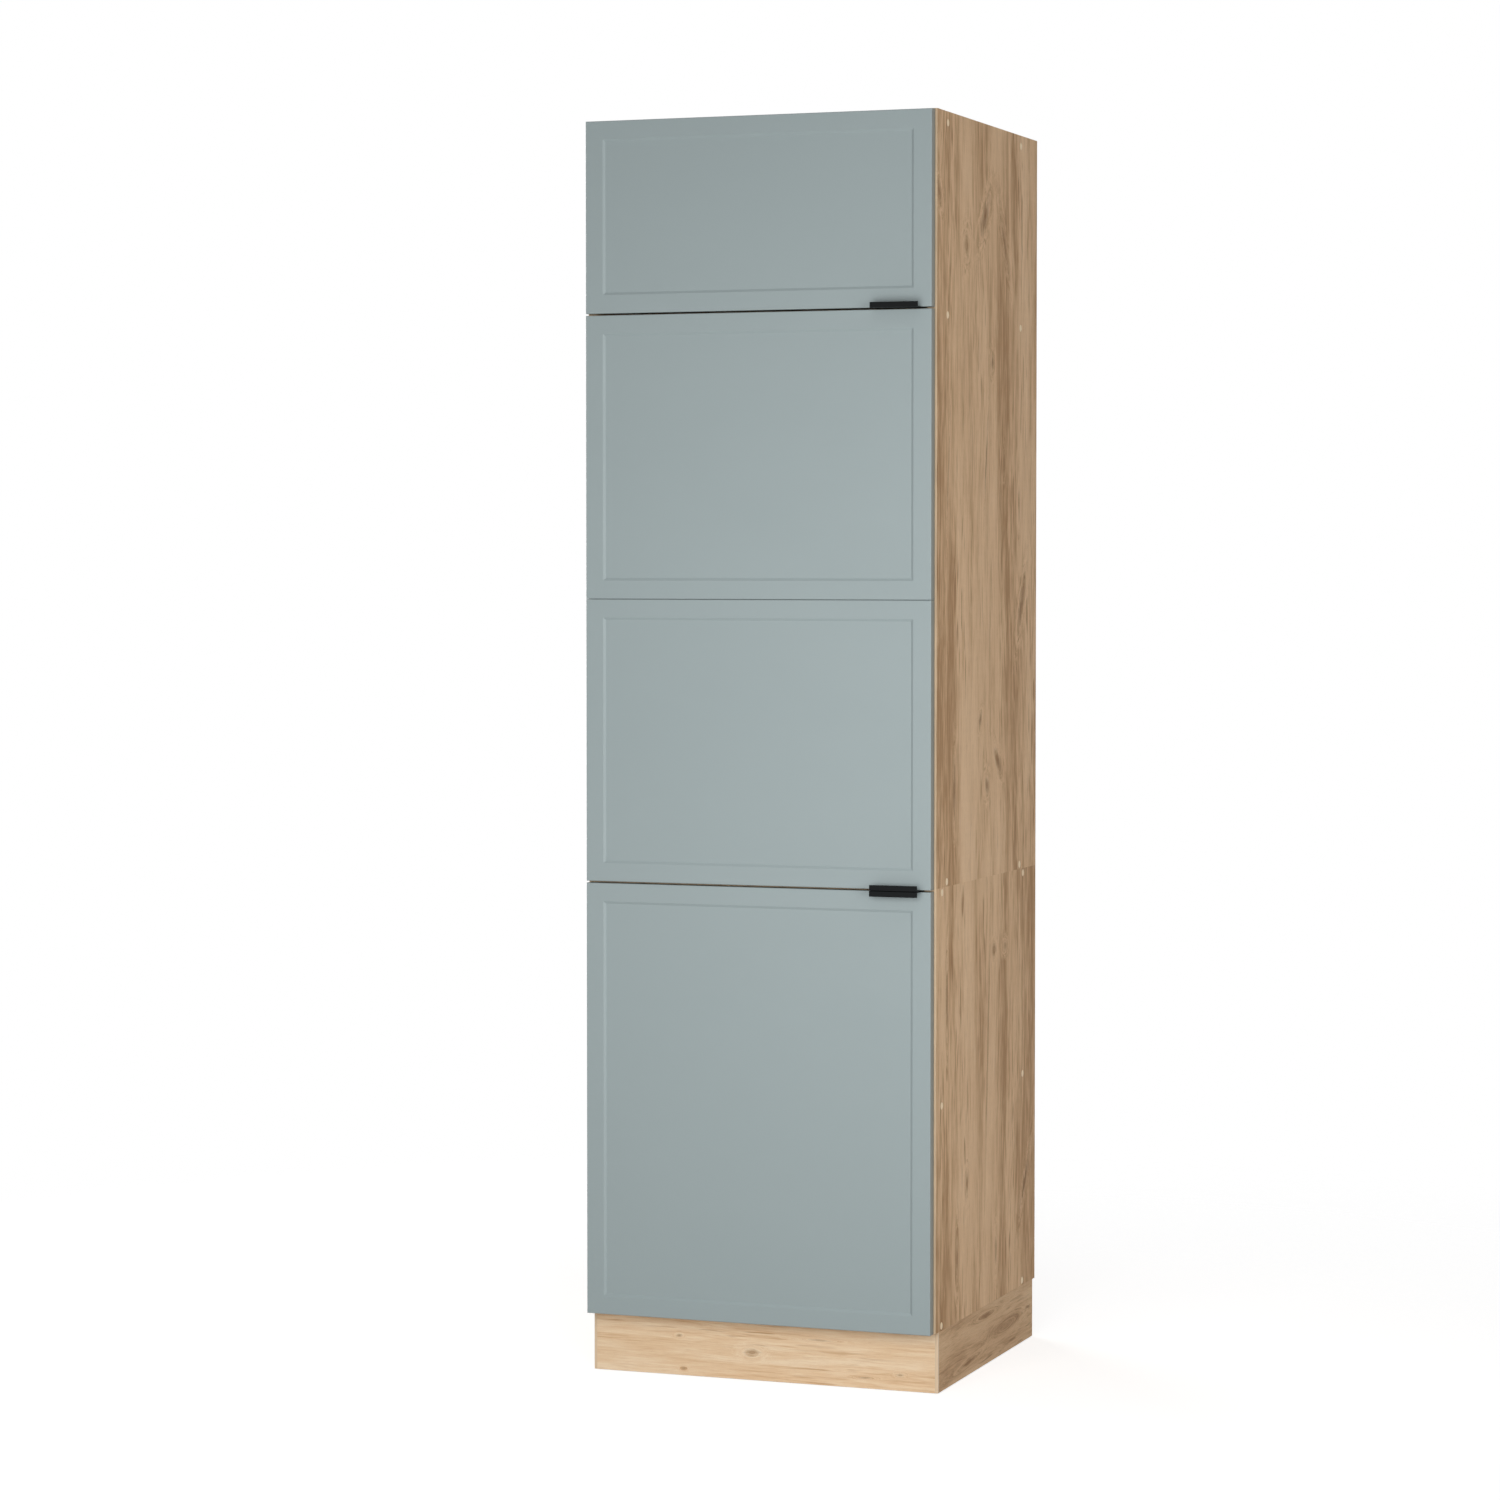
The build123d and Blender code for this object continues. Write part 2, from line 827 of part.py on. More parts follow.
with BuildPart() as arm:
    with BuildSketch(Plane.XY):
        with Locations(arm_pivot_outer, arm_pivot_inner):
            Circle(arm_boss_radius)
        with Locations((arm_top_u, arm_nose_root)):
            Rectangle(
                arm_nose_depth,
                arm_nose_root - arm_body_front,
                align=(Align.MAX, Align.MAX),
            )
        make_hull()
    extrude(amount=arm_half_thickness, both=True)
    with BuildSketch(Plane.XY):
        with Locations((arm_underside_u, arm_body_front)):
            Rectangle(
                arm_body_height,
                arm_body_back - arm_body_front,
                align=(Align.MIN, Align.MIN),
            )
    extrude(amount=arm_body_half_width, both=True)
    with BuildSketch(Plane.XY):
        with Locations((arm_underside_u, arm_nose_root)):
            Rectangle(
                arm_body_height - arm_wall,
                arm_body_back - arm_nose_root,
                align=(Align.MIN, Align.MIN),
            )
        with Locations((arm_underside_u, arm_body_front + arm_wall)):
            Rectangle(
                arm_top_u - arm_nose_depth - arm_underside_u,
                arm_nose_root - arm_body_front - arm_wall,
                align=(Align.MIN, Align.MIN),
            )
    extrude(amount=arm_body_half_width - arm_wall, both=True, mode=Mode.SUBTRACT)
    with BuildSketch(Plane.XY):
        with Locations(arm_pivot_outer, arm_pivot_inner):
            Circle(bore_radius)
    extrude(amount=arm_half_thickness, both=True, mode=Mode.SUBTRACT)

with BuildPart() as arm_pins:
    pin_head_z = link_z + link_thickness + pivot_overhang
    with BuildSketch(Plane.XY.offset(-arm_half_thickness)):
        with Locations(arm_pivot_outer):
            Circle(pivot_radius)
    extrude(amount=arm_half_thickness + pin_head_z)
    with BuildSketch(Plane.XY.offset(arm_half_thickness)):
        with Locations(arm_pivot_inner):
            Circle(pivot_radius)
    extrude(amount=-(arm_half_thickness + pin_head_z))

block_top_u = arm_top_u - arm_wall - arm_seat_gap
block_half_width = arm_body_half_width - arm_wall - arm_seat_gap
with BuildPart() as hinge_plate:
    with BuildSketch(Plane.YZ):
        with Locations((plate_centre, 0)):
            RectangleRounded(plate_wing_width, plate_wing_height, plate_wing_radius)
            Rectangle(plate_block_length, 2 * block_half_width)
    extrude(amount=plate_base_thickness)
    with BuildSketch(Plane.YZ.offset(plate_base_thickness)):
        with Locations((plate_centre, 0)):
            Rectangle(plate_block_length, 2 * block_half_width)
    extrude(amount=block_top_u - plate_base_thickness)
    drill(
        [
            Plane(
                origin=(plate_base_thickness, plate_centre, end * plate_screw_spacing / 2),
                z_dir=(1, 0, 0),
            )
            for end in (-1, 1)
        ],
        plate_screw_radius + fastener_clearance,
        plate_base_thickness,
        plate_screw_head_radius + fastener_clearance,
    )

cup_screw_planes = [
    Plane(
        origin=(cup_u + cup_screw_offset, cup_face_v, end * cup_screw_spacing / 2),
        z_dir=(0, 1, 0),
    )
    for end in (-1, 1)
]
cup_screw_head_radius = cup_screw_radius + cup_flange_thickness
with BuildPart() as cup:
    with BuildSketch(Plane.XZ.offset(-cup_bottom_v)):
        with Locations((cup_u, 0)):
            Circle(cup_radius)
    extrude(amount=-(door_back_v - cup_bottom_v))
    with BuildSketch(Plane.XZ.offset(-door_back_v)):
        with Locations((cup_u, 0)):
            Circle(cup_radius + cup_rim)
        with Locations((cup_u + cup_wing_offset, 0)):
            RectangleRounded(cup_wing_width, cup_wing_height, cup_wing_radius)
    extrude(amount=-cup_flange_thickness)
    with BuildSketch(Plane.XZ.offset(-(cup_bottom_v + cup_wall))):
        with Locations((cup_u, 0)):
            Circle(cup_radius - cup_wall)
    extrude(amount=-(cup_face_v - cup_bottom_v - cup_wall), mode=Mode.SUBTRACT)
    drill(
        cup_screw_planes,
        cup_screw_radius + fastener_clearance,
        cup_flange_thickness,
        cup_screw_head_radius + fastener_clearance,
    )

# The lugs that hold the cup's pins grow from the cup's wall, one above the links, one below.
lug_places = ((cup_pivot_outer, 1), (cup_pivot_inner, -1))
with BuildPart() as lugs:
    for pivot, end in lug_places:
        with BuildSketch(Plane.XY.offset(end * lug_z)):
            with Locations(pivot):
                Circle(lug_radius)
        extrude(amount=end * (cup_radius - lug_z))
    with BuildSketch(Plane.XZ.offset(-cup_bottom_v)):
        with Locations((cup_u, 0)):
            Circle(cup_radius - cup_wall / 2)
    extrude(amount=-(door_back_v - cup_bottom_v), mode=Mode.INTERSECT)
    for pivot, end in lug_places:
        with BuildSketch(Plane.XY.offset(end * lug_z)):
            with Locations(pivot):
                Circle(bore_radius)
        extrude(amount=end * (cup_pin_grip + pivot_clearance), mode=Mode.SUBTRACT)
with BuildPart() as cup_with_lugs:
    add(cup.part)
    add(lugs.part)

with BuildPart() as cup_pins:
    for pivot, end in lug_places:
        with BuildSketch(Plane.XY.offset(end * (link_z - pivot_overhang))):
            with Locations(pivot):
                Circle(pivot_radius)
        extrude(amount=end * (lug_z + cup_pin_grip - link_z + pivot_overhang))

cup_screws = flat_screw(cup_screw_radius, cup_screw_head_radius, cup_screw_length)
with BuildPart() as cup_screw_pair:
    with Locations(*cup_screw_planes):
        add(cup_screws.part)

all_hinges = hinge_places(lower_hinge_rows + middle_hinge_rows + top_hinge_rows)
at_each("hinge_arms", arm, all_hinges)
at_each("hinge_arm_pins", arm_pins, all_hinges)
at_each("hinge_plates", hinge_plate, all_hinges)
at_each(
    "hinge_plate_screws",
    flat_screw(plate_screw_radius, plate_screw_head_radius, plate_screw_length),
    plate_screw_planes(lower_hinge_rows + middle_hinge_rows + top_hinge_rows),
)
for door, rows in (
    ("lower", lower_hinge_rows),
    ("middle", middle_hinge_rows),
    ("top", top_hinge_rows),
):
    places = hinge_places(rows)
    at_each(f"{door}_hinge_cups", cup_with_lugs, places)
    at_each(f"{door}_cup_pins", cup_pins, places)
    at_each(f"{door}_cup_screws", cup_screw_pair, places)
    at_each(f"{door}_outer_links", outer_link, places)
    at_each(f"{door}_inner_links", inner_link, places)

# Fronts
pull_centre_x = door_half_width - pull_inset - pull_length / 2
pull_head_radius = pull_screw_radius + pull_sheet
pull_back_y = door_back_y + pull_sheet
joining_back_y = door_back_y + joining_plate_thickness
joining_head_radius = joining_screw_radius + joining_plate_thickness
cup_x = cup_u - inner_half_width
middle_joint_z = middle_upper_z - panel_joint / 2


def pull_screw_planes(edge_z, way):
    """Planes on the leg of a pull, facing back, the leg running from the edge along the way."""
    return [
        Plane(
            origin=(
                pull_centre_x + end * pull_screw_spacing / 2,
                pull_back_y,
                edge_z + way * pull_screw_height,
            ),
            z_dir=(0, 1, 0),
        )
        for end in (-1, 1)
    ]


joining_screw_planes = [
    Plane(
        origin=(
            side * joining_plate_spacing / 2 + across * joining_screw_spacing_x / 2,
            joining_back_y,
            middle_joint_z + up * joining_screw_spacing_z / 2,
        ),
        z_dir=(0, 1, 0),
    )
    for side in (-1, 1)
    for across in (-1, 1)
    for up in (-1, 1)
]


def make_front(name, base_z, height, rows, pulls, joints):
    """A slim-frame front with its hinge cup bores and its screw holes in the back."""
    with BuildPart() as front:
        with BuildSketch(Plane.XZ.offset(-door_back_y)):
            with Locations((0, base_z + height / 2)):
                Rectangle(2 * door_half_width, height)
        extrude(amount=front_thickness)
        fillet(
            front.faces().sort_by(Axis.Y)[0].outer_wire().edges(),
            front_edge_radius,
        )
        with BuildSketch(Plane.XZ.offset(-door_face_y)):
            with Locations((0, base_z + height / 2)):
                Rectangle(2 * (door_half_width - frame_width), height - 2 * frame_width)
        extrude(amount=-frame_step_depth, taper=frame_step_angle, mode=Mode.SUBTRACT)
        with BuildSketch(Plane.XZ.offset(-door_back_y)):
            with Locations(*[(cup_x, z) for z in rows]):
                Circle(cup_radius + cup_hole_clearance)
        extrude(amount=cup_depth + cup_hole_clearance, mode=Mode.SUBTRACT)
        drill(
            [
                Plane(
                    origin=(
                        cup_x + cup_screw_offset,
                        door_back_y + cup_flange_thickness,
                        z + end * cup_screw_spacing / 2,
                    ),
                    z_dir=(0, 1, 0),
                )
                for z in rows
                for end in (-1, 1)
            ],
            cup_screw_radius + fastener_clearance,
            cup_screw_length + fastener_clearance,
        )
        if pulls:
            drill(
                pulls,
                pull_screw_radius + fastener_clearance,
                pull_screw_length + fastener_clearance,
            )
        if joints:
            drill(
                joints,
                joining_screw_radius + fastener_clearance,
                joining_screw_length + fastener_clearance,
            )
    save(front, name)


def make_pull(name, edge_z, way):
    """An edge pull: a leg on the back, a flange along the edge and a lip before the face."""
    lip_y = door_face_y - pull_projection
    outside_z = edge_z - way * pull_sheet
    with BuildPart() as pull:
        with BuildSketch(Plane.YZ.offset(pull_centre_x)):
            with BuildLine():
                Polyline(
                    (door_back_y, edge_z),
                    (door_back_y, edge_z + way * pull_leg_height),
                    (pull_back_y, edge_z + way * pull_leg_height),
                    (pull_back_y, outside_z),
                    (lip_y, outside_z),
                    (lip_y, outside_z + way * pull_lip_height),
                    (lip_y + pull_lip_thickness, outside_z + way * pull_lip_height),
                    (lip_y + pull_lip_thickness, edge_z),
                    close=True,
                )
            make_face()
        extrude(amount=pull_length / 2, both=True)
        fillet(pull.edges().filter_by(Axis.X).group_by(Axis.Y)[0], pull_lip_radius)
        drill(
            pull_screw_planes(edge_z, way),
            pull_screw_radius + fastener_clearance,
            pull_sheet,
            pull_head_radius + fastener_clearance,
        )
    save(pull, f"{name}_pull")
    at_each(
        f"{name}_pull_screws",
        flat_screw(pull_screw_radius, pull_head_radius, pull_screw_length),
        pull_screw_planes(edge_z, way),
    )


lower_front_top_z = lower_z + lower_front_height
make_front(
    "lower_front",
    lower_z,
    lower_front_height,
    lower_hinge_rows,
    pull_screw_planes(lower_front_top_z, -1),
    [],
)
make_front(
    "middle_lower_front",
    middle_front_z,
    middle_panel_height,
    middle_hinge_rows[:1],
    pull_screw_planes(middle_front_z, 1),
    [plane for plane in joining_screw_planes if plane.origin.Z < middle_joint_z],
)
make_front(
    "middle_upper_front",
    middle_upper_z,
    middle_panel_height,
    middle_hinge_rows[1:],
    [],
    [plane for plane in joining_screw_planes if plane.origin.Z > middle_joint_z],
)
make_front(
    "top_front",
    top_front_z,
    top_front_height,
    top_hinge_rows,
    pull_screw_planes(top_front_z, 1),
    [],
)
make_pull("lower", lower_front_top_z, -1)
make_pull("middle", middle_front_z, 1)
make_pull("top", top_front_z, 1)

with BuildPart() as joining_plates:
    with BuildSketch(Plane.XZ.offset(-door_back_y)):
        with Locations((0, middle_joint_z)):
            with GridLocations(joining_plate_spacing, 0, 2, 1):
                Rectangle(joining_plate_width, joining_plate_height)
    extrude(amount=-joining_plate_thickness)
    drill(
        joining_screw_planes,
        joining_screw_radius + fastener_clearance,
        joining_plate_thickness,
        joining_head_radius + fastener_clearance,
    )
save(joining_plates, "middle_joining_plates")
at_each(
    "middle_joining_screws",
    flat_screw(joining_screw_radius, joining_head_radius, joining_screw_length),
    joining_screw_planes,
)

# Bumpers on the front edge of the right side, two for each door.
bumper_rows = [
    lower_z + bumper_edge_inset,
    lower_front_top_z - bumper_edge_inset,
    middle_front_z + bumper_edge_inset,
    middle_top_z - bumper_edge_inset,
    top_front_z + bumper_edge_inset,
    top_front_z + top_front_height - bumper_edge_inset,
]
with BuildPart() as bumpers:
    with BuildSketch(Plane.XZ.offset(-carcass_front_y)):
        with Locations(*[(half_width - board / 2, z) for z in bumper_rows]):
            Circle(bumper_radius)
    extrude(amount=bumper_thickness)
save(bumpers, "door_bumpers")
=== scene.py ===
"""Finishes, fine hardware, studio and camera for the fridge housing unit."""

import logging
import math
from collections.abc import Iterable, Sequence
from dataclasses import dataclass
from enum import Enum
from typing import Any, ClassVar, NamedTuple

import bpy
import numpy as np
from mathutils import Euler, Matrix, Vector


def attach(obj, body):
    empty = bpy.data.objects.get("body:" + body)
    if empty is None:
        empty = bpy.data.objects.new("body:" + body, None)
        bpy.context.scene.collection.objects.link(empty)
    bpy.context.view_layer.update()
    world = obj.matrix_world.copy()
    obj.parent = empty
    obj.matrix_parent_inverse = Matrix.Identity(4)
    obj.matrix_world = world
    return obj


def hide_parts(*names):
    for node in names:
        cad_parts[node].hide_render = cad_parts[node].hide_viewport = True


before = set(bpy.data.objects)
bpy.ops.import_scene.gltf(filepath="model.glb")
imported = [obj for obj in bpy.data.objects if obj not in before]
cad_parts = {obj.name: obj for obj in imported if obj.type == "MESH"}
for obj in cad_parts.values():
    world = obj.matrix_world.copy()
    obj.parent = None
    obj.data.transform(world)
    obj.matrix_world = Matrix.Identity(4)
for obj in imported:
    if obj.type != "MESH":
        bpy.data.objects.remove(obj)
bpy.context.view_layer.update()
log = logging.getLogger("fridge_housing")

Colour = tuple[float, float, float, float]
Point = tuple[float, float, float]
Range = tuple[float, float]
Socket = bpy.types.NodeSocket
Feeds = dict[str | int, Any]

ALONG_X, ALONG_Y, ALONG_Z = (1.0, 0.0, 0.0), (0.0, 1.0, 0.0), (0.0, 0.0, 1.0)
AGAINST_X, AGAINST_Y, AGAINST_Z = (-1.0, 0.0, 0.0), (0.0, -1.0, 0.0), (0.0, 0.0, -1.0)
FULL_TURN = 2 * math.pi
BOTH = (-1, 1)
WHITE: Colour = (1.0, 1.0, 1.0, 1.0)


def tint(red: int, green: int, blue: int) -> Colour:
    """Turns a display colour into the linear colour that the shaders take.

    Each level of 0 to 255 goes through the display curve: a straight part near black, and a
    power of 2.4 above it.

    Args:
        red: The red level.
        green: The green level.
        blue: The blue level.

    Returns:
        The linear colour with full alpha.
    """
    level = np.array([red, green, blue]) / 255
    straight = np.where(level <= 0.04045, level / 12.92, ((level + 0.055) / 1.055) ** 2.4)
    return (*straight.tolist(), 1.0)


class Layer(NamedTuple):
    """One noise: cells per metre along each axis, its finer layers, and how much it counts."""

    stretch: Point
    detail: float
    roughness: float = 0.5
    weight: float = 1.0


class Wiring:
    """A node tree under construction, with short calls for the nodes that the finishes use."""

    def __init__(self, tree: bpy.types.NodeTree) -> None:
        """Takes the tree that the nodes go into, and empties it."""
        self.tree = tree
        tree.nodes.clear()

    def add(self, kind: str, feeds: Feeds | None = None, **settings: Any) -> bpy.types.Node:
        """Adds one node.

        Args:
            kind: The node's type.
            feeds: What goes into its sockets, by name or number: a socket to link, or a value.
            **settings: The node's own properties.

        Returns:
            The new node.
        """
        node = self.tree.nodes.new(kind)
        for name, value in settings.items():
            setattr(node, name, value)
        for socket, value in (feeds or {}).items():
            self.feed(node.inputs[socket], value)
        return node

    def feed(self, socket: Socket, value: Any) -> None:
        """Links a socket to another one, or gives it a value of its own.

        Args:
            socket: The input to feed.
            value: Another socket, or the value.
        """
        if isinstance(value, Socket):
            self.tree.links.new(value, socket)
        else:
            socket.default_value = value

    def math(self, what: str, *values: Any) -> Socket:
        """Returns the outcome of one sum on numbers."""
        return self.add("ShaderNodeMath", dict(enumerate(values)), operation=what).outputs[0]

    def times(self, first: Any, *others: Any) -> Any:
        """Returns the product of numbers."""
        for other in others:
            first = self.math("MULTIPLY", first, other)
        return first

    def vector(self, what: str, *values: Any) -> Socket:
        """Returns the outcome of one sum on vectors, a number for a length or a dot product."""
        node = self.add("ShaderNodeVectorMath", dict(enumerate(values)), operation=what)
        return node.outputs["Value" if what in ("LENGTH", "DOT_PRODUCT") else "Vector"]

    def split(self, vector: Any) -> Any:
        """Returns the three parts of a vector."""
        return self.add("ShaderNodeSeparateXYZ", {0: vector}).outputs

    def join(self, parts: Feeds) -> Socket:
        """Returns the vector with these parts, by number, and nothing in the rest."""
        return self.add("ShaderNodeCombineXYZ", parts).outputs[0]

    def blend(self, share: Any, first: Any, second: Any) -> Socket:
        """Returns the first colour with a share of the second one over it."""
        feeds = {0: share, 6: first, 7: second}
        return self.add("ShaderNodeMix", feeds, data_type="RGBA").outputs[2]

    def spread(
        self, value: Any, low: float, high: float, to_low: float = 0.0, to_high: float = 1.0
    ) -> Socket:
        """Returns a number mapped from one range to another, and clamped there."""
        feeds = dict(enumerate((value, low, high, to_low, to_high)))
        return self.add("ShaderNodeMapRange", feeds).outputs[0]

    def noise(self, place: Any, layer: Layer) -> Socket:
        """Makes noise whose cells are stretched along the axes.

        Args:
            place: The place on the surface, in metres.
            layer: The noise's cells and detail.

        Returns:
            The noise, around a half.
        """
        feeds = {
            "Vector": self.vector("MULTIPLY", place, layer.stretch),
            "Scale": 1.0,
            "Detail": layer.detail,
            "Roughness": layer.roughness,
        }
        return self.add("ShaderNodeTexNoise", feeds).outputs[0]

    def cells(self, place: Any, scale: float) -> Socket:
        """Returns a tone of 0 to 1 that is the same all over each cell."""
        voronoi = self.add("ShaderNodeTexVoronoi", {"Vector": place, "Scale": scale})
        return self.split(voronoi.outputs["Color"])[0]


class SharedEffect(Wiring):
    """A node group that several finishes place, built when the first one asks for it."""

    title: ClassVar[str]
    takes: ClassVar[tuple[str, ...]]
    gives: ClassVar[tuple[str, ...]]
    kinds: ClassVar[dict[str, str]] = {
        **dict.fromkeys(("grain", "centre", "reach", "place", "normal"), "NodeSocketVector"),
        **dict.fromkeys(("colour", "mark", "dark", "middle", "pale"), "NodeSocketColor"),
    }

    def __init__(self) -> None:
        """Builds the group, its sockets and its nodes."""
        super().__init__(bpy.data.node_groups.new(self.title, "ShaderNodeTree"))
        for way, names in (("INPUT", self.takes), ("OUTPUT", self.gives)):
            for name in names:
                kind = self.kinds.get(name, "NodeSocketFloat")
                self.tree.interface.new_socket(name=name, in_out=way, socket_type=kind)
        self.taken = self.add("NodeGroupInput").outputs
        self.wire()

    def wire(self) -> None:
        """Adds the effect's nodes."""
        raise NotImplementedError

    def give(self, **feeds: Any) -> None:
        """Feeds the group's outputs."""
        self.add("NodeGroupOutput", feeds)

    @classmethod
    def place(cls, wiring: Wiring, **feeds: Any) -> Any:
        """Returns the outputs of the group, placed in a material with these inputs."""
        tree = bpy.data.node_groups.get(cls.title) or cls().tree
        return wiring.add("ShaderNodeGroup", feeds, node_tree=tree).outputs


class WoodFigure(SharedEffect):
    """Straight oak figure along the grain's X: soft bands, fine strokes, dashes and pores."""

    title = "wood_figure"
    takes = ("grain", "lift", "mark", "dark", "middle", "pale")
    gives = ("colour", "height")
    drift = Layer((1.6, 4.0, 4.0), 2.0, weight=0.05)
    bands = Layer((0.9, 11.0, 11.0), 2.0, 0.45, weight=0.34)
    patches = Layer((3.2, 30.0, 30.0), 2.0, weight=0.24)
    strokes = Layer((11.0, 125.0, 125.0), 3.0, 0.6, weight=0.22)
    hairs = Layer((20.0, 460.0, 460.0), 3.0, 0.6, weight=0.2)
    crowd = Layer((2.6, 13.0, 13.0), 2.0)
    dashes = Layer((12.0, 105.0, 105.0), 1.5, weight=0.7)
    pores = Layer((70.0, 2400.0, 2400.0), 2.0, weight=0.45)
    crowd_by_lift = -2.2
    strokes_by_crowd = 0.16
    tone_by_crowd = -0.08
    crowd_range = (0.45, 0.62)
    middle_range = (0.38, 0.5)
    pale_range = (0.5, 0.6)
    dash_range = (0.59, 0.69)
    pore_range = (0.56, 0.7)
    hair_height = 0.5

    def wire(self) -> None:
        """Adds the figure's nodes.

        The tone is a weighted sum of soft bands, patches and strokes, each a noise that is
        stretched along the grain on a place pushed sideways by slow noise, plus the lift. The
        strokes and the dark dashes gather where a broad noise less the lift allows them.
        """
        taken = self.taken
        grain, lift = taken["grain"], taken["lift"]
        drift = self.math("SUBTRACT", self.noise(grain, self.drift), 0.5)
        sway = self.times(drift, self.drift.weight)
        swayed = self.vector("ADD", grain, self.join({1: sway, 2: sway}))
        crowd = self.math("MULTIPLY_ADD", lift, self.crowd_by_lift, self.noise(grain, self.crowd))
        gathered = self.spread(crowd, *self.crowd_range)
        hairs = self.noise(swayed, self.hairs)
        share = self.math("MULTIPLY_ADD", gathered, self.strokes_by_crowd, self.strokes.weight)
        tone: Any = 0.0
        for value, weight in (
            (self.noise(swayed, self.bands), self.bands.weight),
            (self.noise(swayed, self.patches), self.patches.weight),
            (hairs, self.hairs.weight),
            (self.noise(swayed, self.strokes), share),
            (gathered, self.tone_by_crowd),
            (lift, 1.0),
        ):
            tone = self.math("MULTIPLY_ADD", value, weight, tone)
        colour = self.blend(self.spread(tone, *self.middle_range), taken["dark"], taken["middle"])
        colour = self.blend(self.spread(tone, *self.pale_range), colour, taken["pale"])
        dashes = self.spread(self.noise(swayed, self.dashes), *self.dash_range)
        marks = self.times(dashes, gathered, self.dashes.weight)
        colour = self.blend(marks, colour, taken["mark"])
        pores = self.spread(self.noise(grain, self.pores), *self.pore_range)
        colour = self.blend(self.times(pores, self.pores.weight), colour, taken["dark"])
        height = self.math("SUBTRACT", self.times(hairs, self.hair_height), pores)
        self.give(colour=colour, height=height)


class WoodKnot(SharedEffect):
    """One knot: the grain parts round it, and a mask darkens its heart."""

    title = "wood_knot"
    takes = ("grain", "centre", "reach", "lean")
    gives = ("grain", "mask")
    squeeze = -0.3
    rim = Layer((34.0, 190.0, 190.0), 3.0, 0.6, weight=2.0)
    rim_range = (1.15, 2.0)

    def wire(self) -> None:
        """Adds the knot's nodes.

        The distance is measured in reaches, so that it is an ellipse, and the lean shears it
        across the grain. The grain is squeezed towards the knot's line by e to the minus
        distance squared, and the mask falls off from the heart with noise on its rim.
        """
        grain = self.taken["grain"]
        away = self.vector("SUBTRACT", grain, self.taken["centre"])
        slant = self.times(self.vector("DOT_PRODUCT", away, ALONG_X), self.taken["lean"])
        away = self.vector("SUBTRACT", away, self.join({1: slant}))
        far = self.vector("LENGTH", self.vector("DIVIDE", away, self.taken["reach"]))
        fall = self.times(self.math("POWER", far, 2.0), -1.0)
        pull = self.times(self.math("POWER", math.e, fall), self.squeeze)
        push = self.vector("MULTIPLY", away, self.join({1: pull, 2: pull}))
        ragged = self.math("MULTIPLY_ADD", self.noise(grain, self.rim), self.rim.weight, far)
        mask = self.spread(ragged, *self.rim_range, 1.0, 0.0)
        self.give(grain=self.vector("ADD", grain, push), mask=mask)


class ChipCore(SharedEffect):
    """The cut edge of chipboard: pressed chips of many tones with fine fibres over them."""

    title = "chip_core"
    takes = ("place",)
    gives = ("colour",)
    chips = (520.0, 520.0, 950.0)
    chip_weight = 0.5
    fibres = Layer((1400.0, 1400.0, 2600.0), 3.0, 0.6, weight=0.6)
    tone_range = (0.2, 0.85)
    dark = tint(168, 138, 102)
    pale = tint(224, 200, 164)

    def wire(self) -> None:
        """Adds the core's nodes: cells of 1 to 2 mm with a tone each, under fine noise."""
        place = self.taken["place"]
        tone = self.cells(self.vector("MULTIPLY", place, self.chips), 1.0)
        fibres = self.noise(place, self.fibres)
        tone = self.times(tone, self.chip_weight)
        share = self.math("MULTIPLY_ADD", fibres, self.fibres.weight, tone)
        self.give(colour=self.blend(self.spread(share, *self.tone_range), self.dark, self.pale))


class SoftArris(SharedEffect):
    """A rounded arris: rounds the normal near sharp edges, and gives a mask of those edges."""

    title = "soft_arris"
    takes = ("radius",)
    gives = ("normal", "edge")
    samples = 4
    edge_range = (0.995, 0.85)

    def wire(self) -> None:
        """Adds the arris nodes: the mask grows as the rounded normal leaves the flat one."""
        feeds = {"Radius": self.taken["radius"]}
        rounded = self.add("ShaderNodeBevel", feeds, samples=self.samples).outputs[0]
        flat = self.add("ShaderNodeNewGeometry").outputs["Normal"]
        same = self.vector("DOT_PRODUCT", rounded, flat)
        self.give(normal=rounded, edge=self.spread(same, *self.edge_range))


class FineSurface(SharedEffect):
    """The fine texture of a coated or moulded face, and the smudges of handling."""

    title = "fine_surface"
    takes = ("place", "cells")
    gives = ("height", "smudge")
    detail = 2.0
    smudges = Layer((5.0, 5.0, 9.0), 4.0, 0.6)

    def wire(self) -> None:
        """Adds the texture's nodes: fine noise for the height, broad noise for the smudges."""
        place = self.taken["place"]
        feeds = {"Vector": place, "Scale": self.taken["cells"], "Detail": self.detail}
        height = self.add("ShaderNodeTexNoise", feeds).outputs[0]
        self.give(height=height, smudge=self.noise(place, self.smudges))


class Dust(SharedEffect):
    """Fine dust that settles on faces which look upwards."""

    title = "dust"
    takes = ("place", "amount")
    gives = ("mask",)
    upward_range = (0.6, 1.0)
    patches = Layer((14.0, 14.0, 14.0), 5.0, 0.65)
    patch_range = (0.3, 0.75)

    def wire(self) -> None:
        """Adds the dust's nodes: the upward share of the normal times patchy noise."""
        flat = self.add("ShaderNodeNewGeometry").outputs["Normal"]
        upward = self.spread(self.vector("DOT_PRODUCT", flat, ALONG_Z), *self.upward_range)
        patches = self.spread(self.noise(self.taken["place"], self.patches), *self.patch_range)
        self.give(mask=self.times(upward, patches, self.taken["amount"]))


